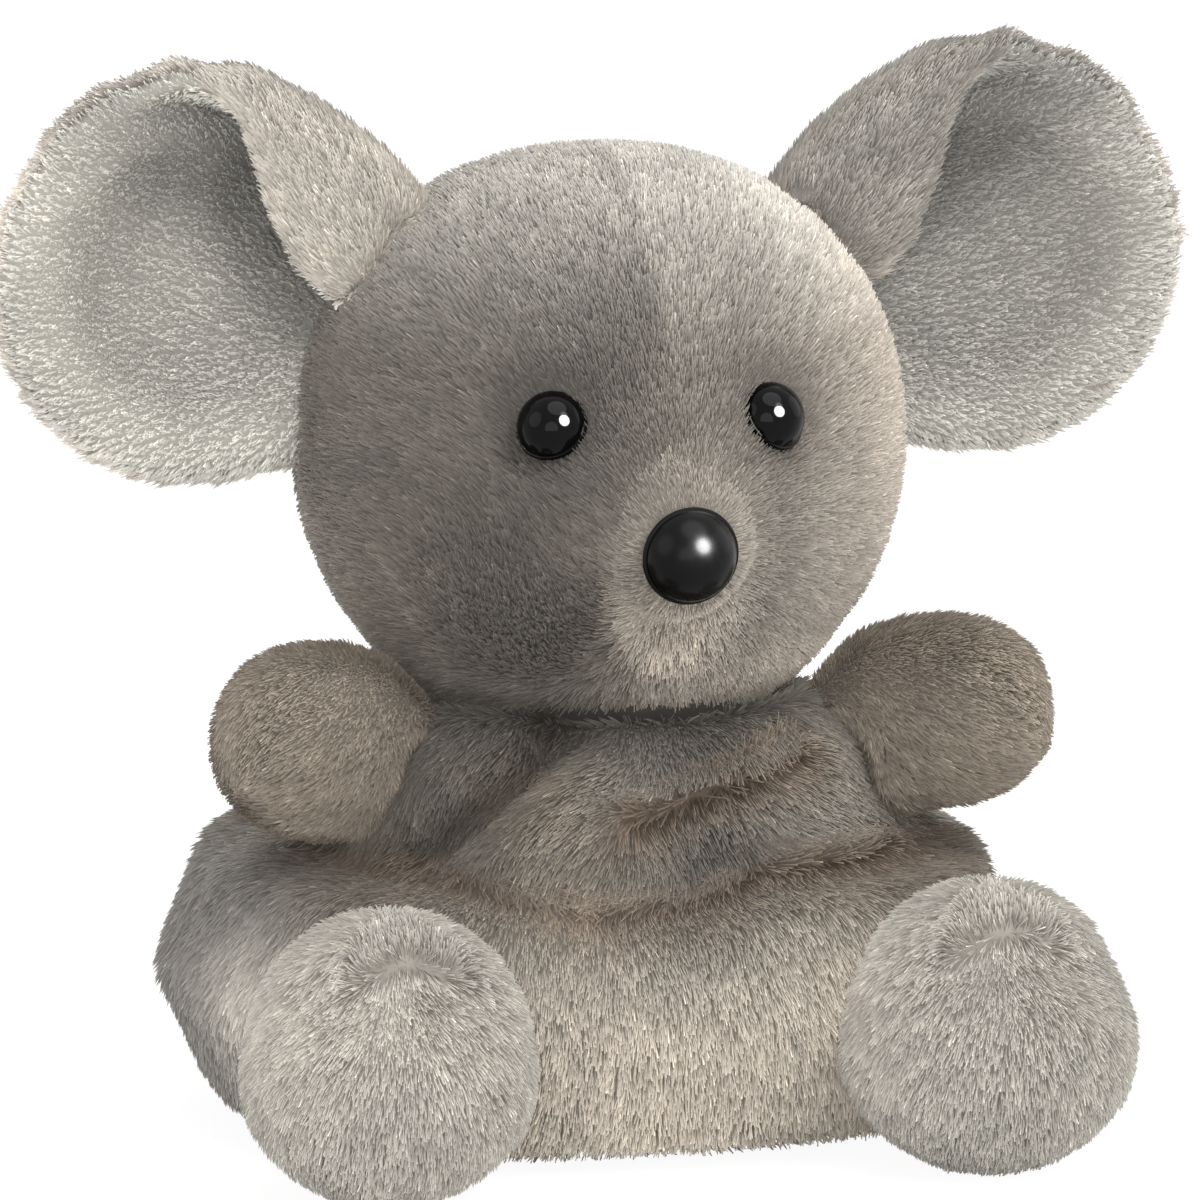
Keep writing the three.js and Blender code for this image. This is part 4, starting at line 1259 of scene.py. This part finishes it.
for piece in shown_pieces():
    if piece.type == "MESH" and piece.name not in nodes:
        places = points_of(piece)
        places[:, 2] = np.maximum(places[:, 2], LOWEST)
        move_points(piece, places)
        faces += sum(len(face.vertices) - 2 for face in piece.data.polygons)
print("triangles in all:", faces)

# %% [markdown]
# ## Studio
# A white table and a white surround, with a large soft lamp overhead, a smaller key lamp to the viewer's
# right, and weak ones in front, at both sides and behind, as from white cards. One more lamp lights the eyes
# and the nose alone, for the highlights on them. A lamp is its azimuth, elevation, distance, width and watts.

# %% Lamps and world
LAMPS = [
    ("overhead", 15, 70, 1.2, 1.1, 8.5), ("key", 30, 42, 1.2, 0.45, 4.5), ("front", -20, 6, 1.4, 1.0, 5.5),
    ("left", -80, 25, 1.2, 0.9, 2.6), ("right", 95, 20, 1.2, 0.9, 1.5), ("behind", 165, 35, 1.3, 1.0, 3.4),
    ("catchlight", 24, 27, 1.2, 0.7, 145),
]
SURROUND_LIGHT, SURROUND_SEEN = 0.33, 1.0


def soft_lamp(name, azimuth, elevation, away, across, watts):
    way = heading(azimuth, elevation, 1)
    where = Vector(way * away) + aim
    bpy.ops.object.light_add(type="AREA", location=where)
    lamp = bpy.context.object
    lamp.name = name
    lamp.rotation_mode = "QUATERNION"
    lamp.rotation_quaternion = (aim - where).to_track_quat("-Z", "Y")
    lamp.data.shape, lamp.data.size, lamp.data.energy = "DISK", across, watts
    return lamp


def ray_seen(tree):
    rays = tree.nodes.new("ShaderNodeLightPath")
    seen = rays.outputs["Is Camera Ray"]
    for kind in ("Is Glossy Ray", "Is Transmission Ray"):
        either = tree.nodes.new("ShaderNodeMath")
        either.operation = "MAXIMUM"
        tree.links.new(seen, either.inputs[0])
        tree.links.new(rays.outputs[kind], either.inputs[1])
        seen = either.outputs[0]
    return seen


lamps = {lamp[0]: soft_lamp(*lamp) for lamp in LAMPS}
shiny = bpy.data.collections.new("shiny")
for dome in domes:
    shiny.objects.link(dome)
lamps["catchlight"].light_linking.receiver_collection = shiny
world = bpy.data.worlds.new("surround")
bpy.context.scene.world = world
world.use_nodes = True
sky = world.node_tree
surround = sky.nodes["Background"]
surround.inputs["Color"].default_value = (1, 1, 1, 1)
level = sky.nodes.new("ShaderNodeMapRange")
level.inputs["To Min"].default_value = SURROUND_LIGHT
level.inputs["To Max"].default_value = SURROUND_SEEN
sky.links.new(ray_seen(sky), level.inputs["Value"])
sky.links.new(level.outputs["Result"], surround.inputs["Strength"])
bpy.context.scene.view_settings.view_transform = "Standard"
print("lamps:", ", ".join(lamps))

# %% [markdown]
# The table glows for the camera, so that it looks white, but a share of it is paint that takes the shadow.

# %% Table
TABLE_WIDTH = 6
TABLE_GREY = 0.85
GLOW_STRENGTH = 1.1
GLOW_SHARE = 0.85
bpy.ops.object.select_all(action="DESELECT")
bpy.ops.mesh.primitive_plane_add(size=TABLE_WIDTH, location=(0, 0, 0))
table = bpy.context.object
table.name = "table"
white, tree, paint = new_finish("table_white")
paint.inputs["Base Color"].default_value = (TABLE_GREY, TABLE_GREY, TABLE_GREY, 1)
paint.inputs["Roughness"].default_value = 0.9
glow = tree.nodes.new("ShaderNodeEmission")
glow.inputs["Strength"].default_value = GLOW_STRENGTH
share = tree.nodes.new("ShaderNodeMath")
share.operation = "MULTIPLY"
share.inputs[1].default_value = GLOW_SHARE
mixed = tree.nodes.new("ShaderNodeMixShader")
tree.links.new(ray_seen(tree), share.inputs[0])
tree.links.new(share.outputs[0], mixed.inputs["Fac"])
tree.links.new(paint.outputs["BSDF"], mixed.inputs[1])
tree.links.new(glow.outputs["Emission"], mixed.inputs[2])
tree.links.new(mixed.outputs["Shader"], tree.nodes["Material Output"].inputs["Surface"])
table.data.materials.append(white)
print("table:", TABLE_WIDTH, "m wide")
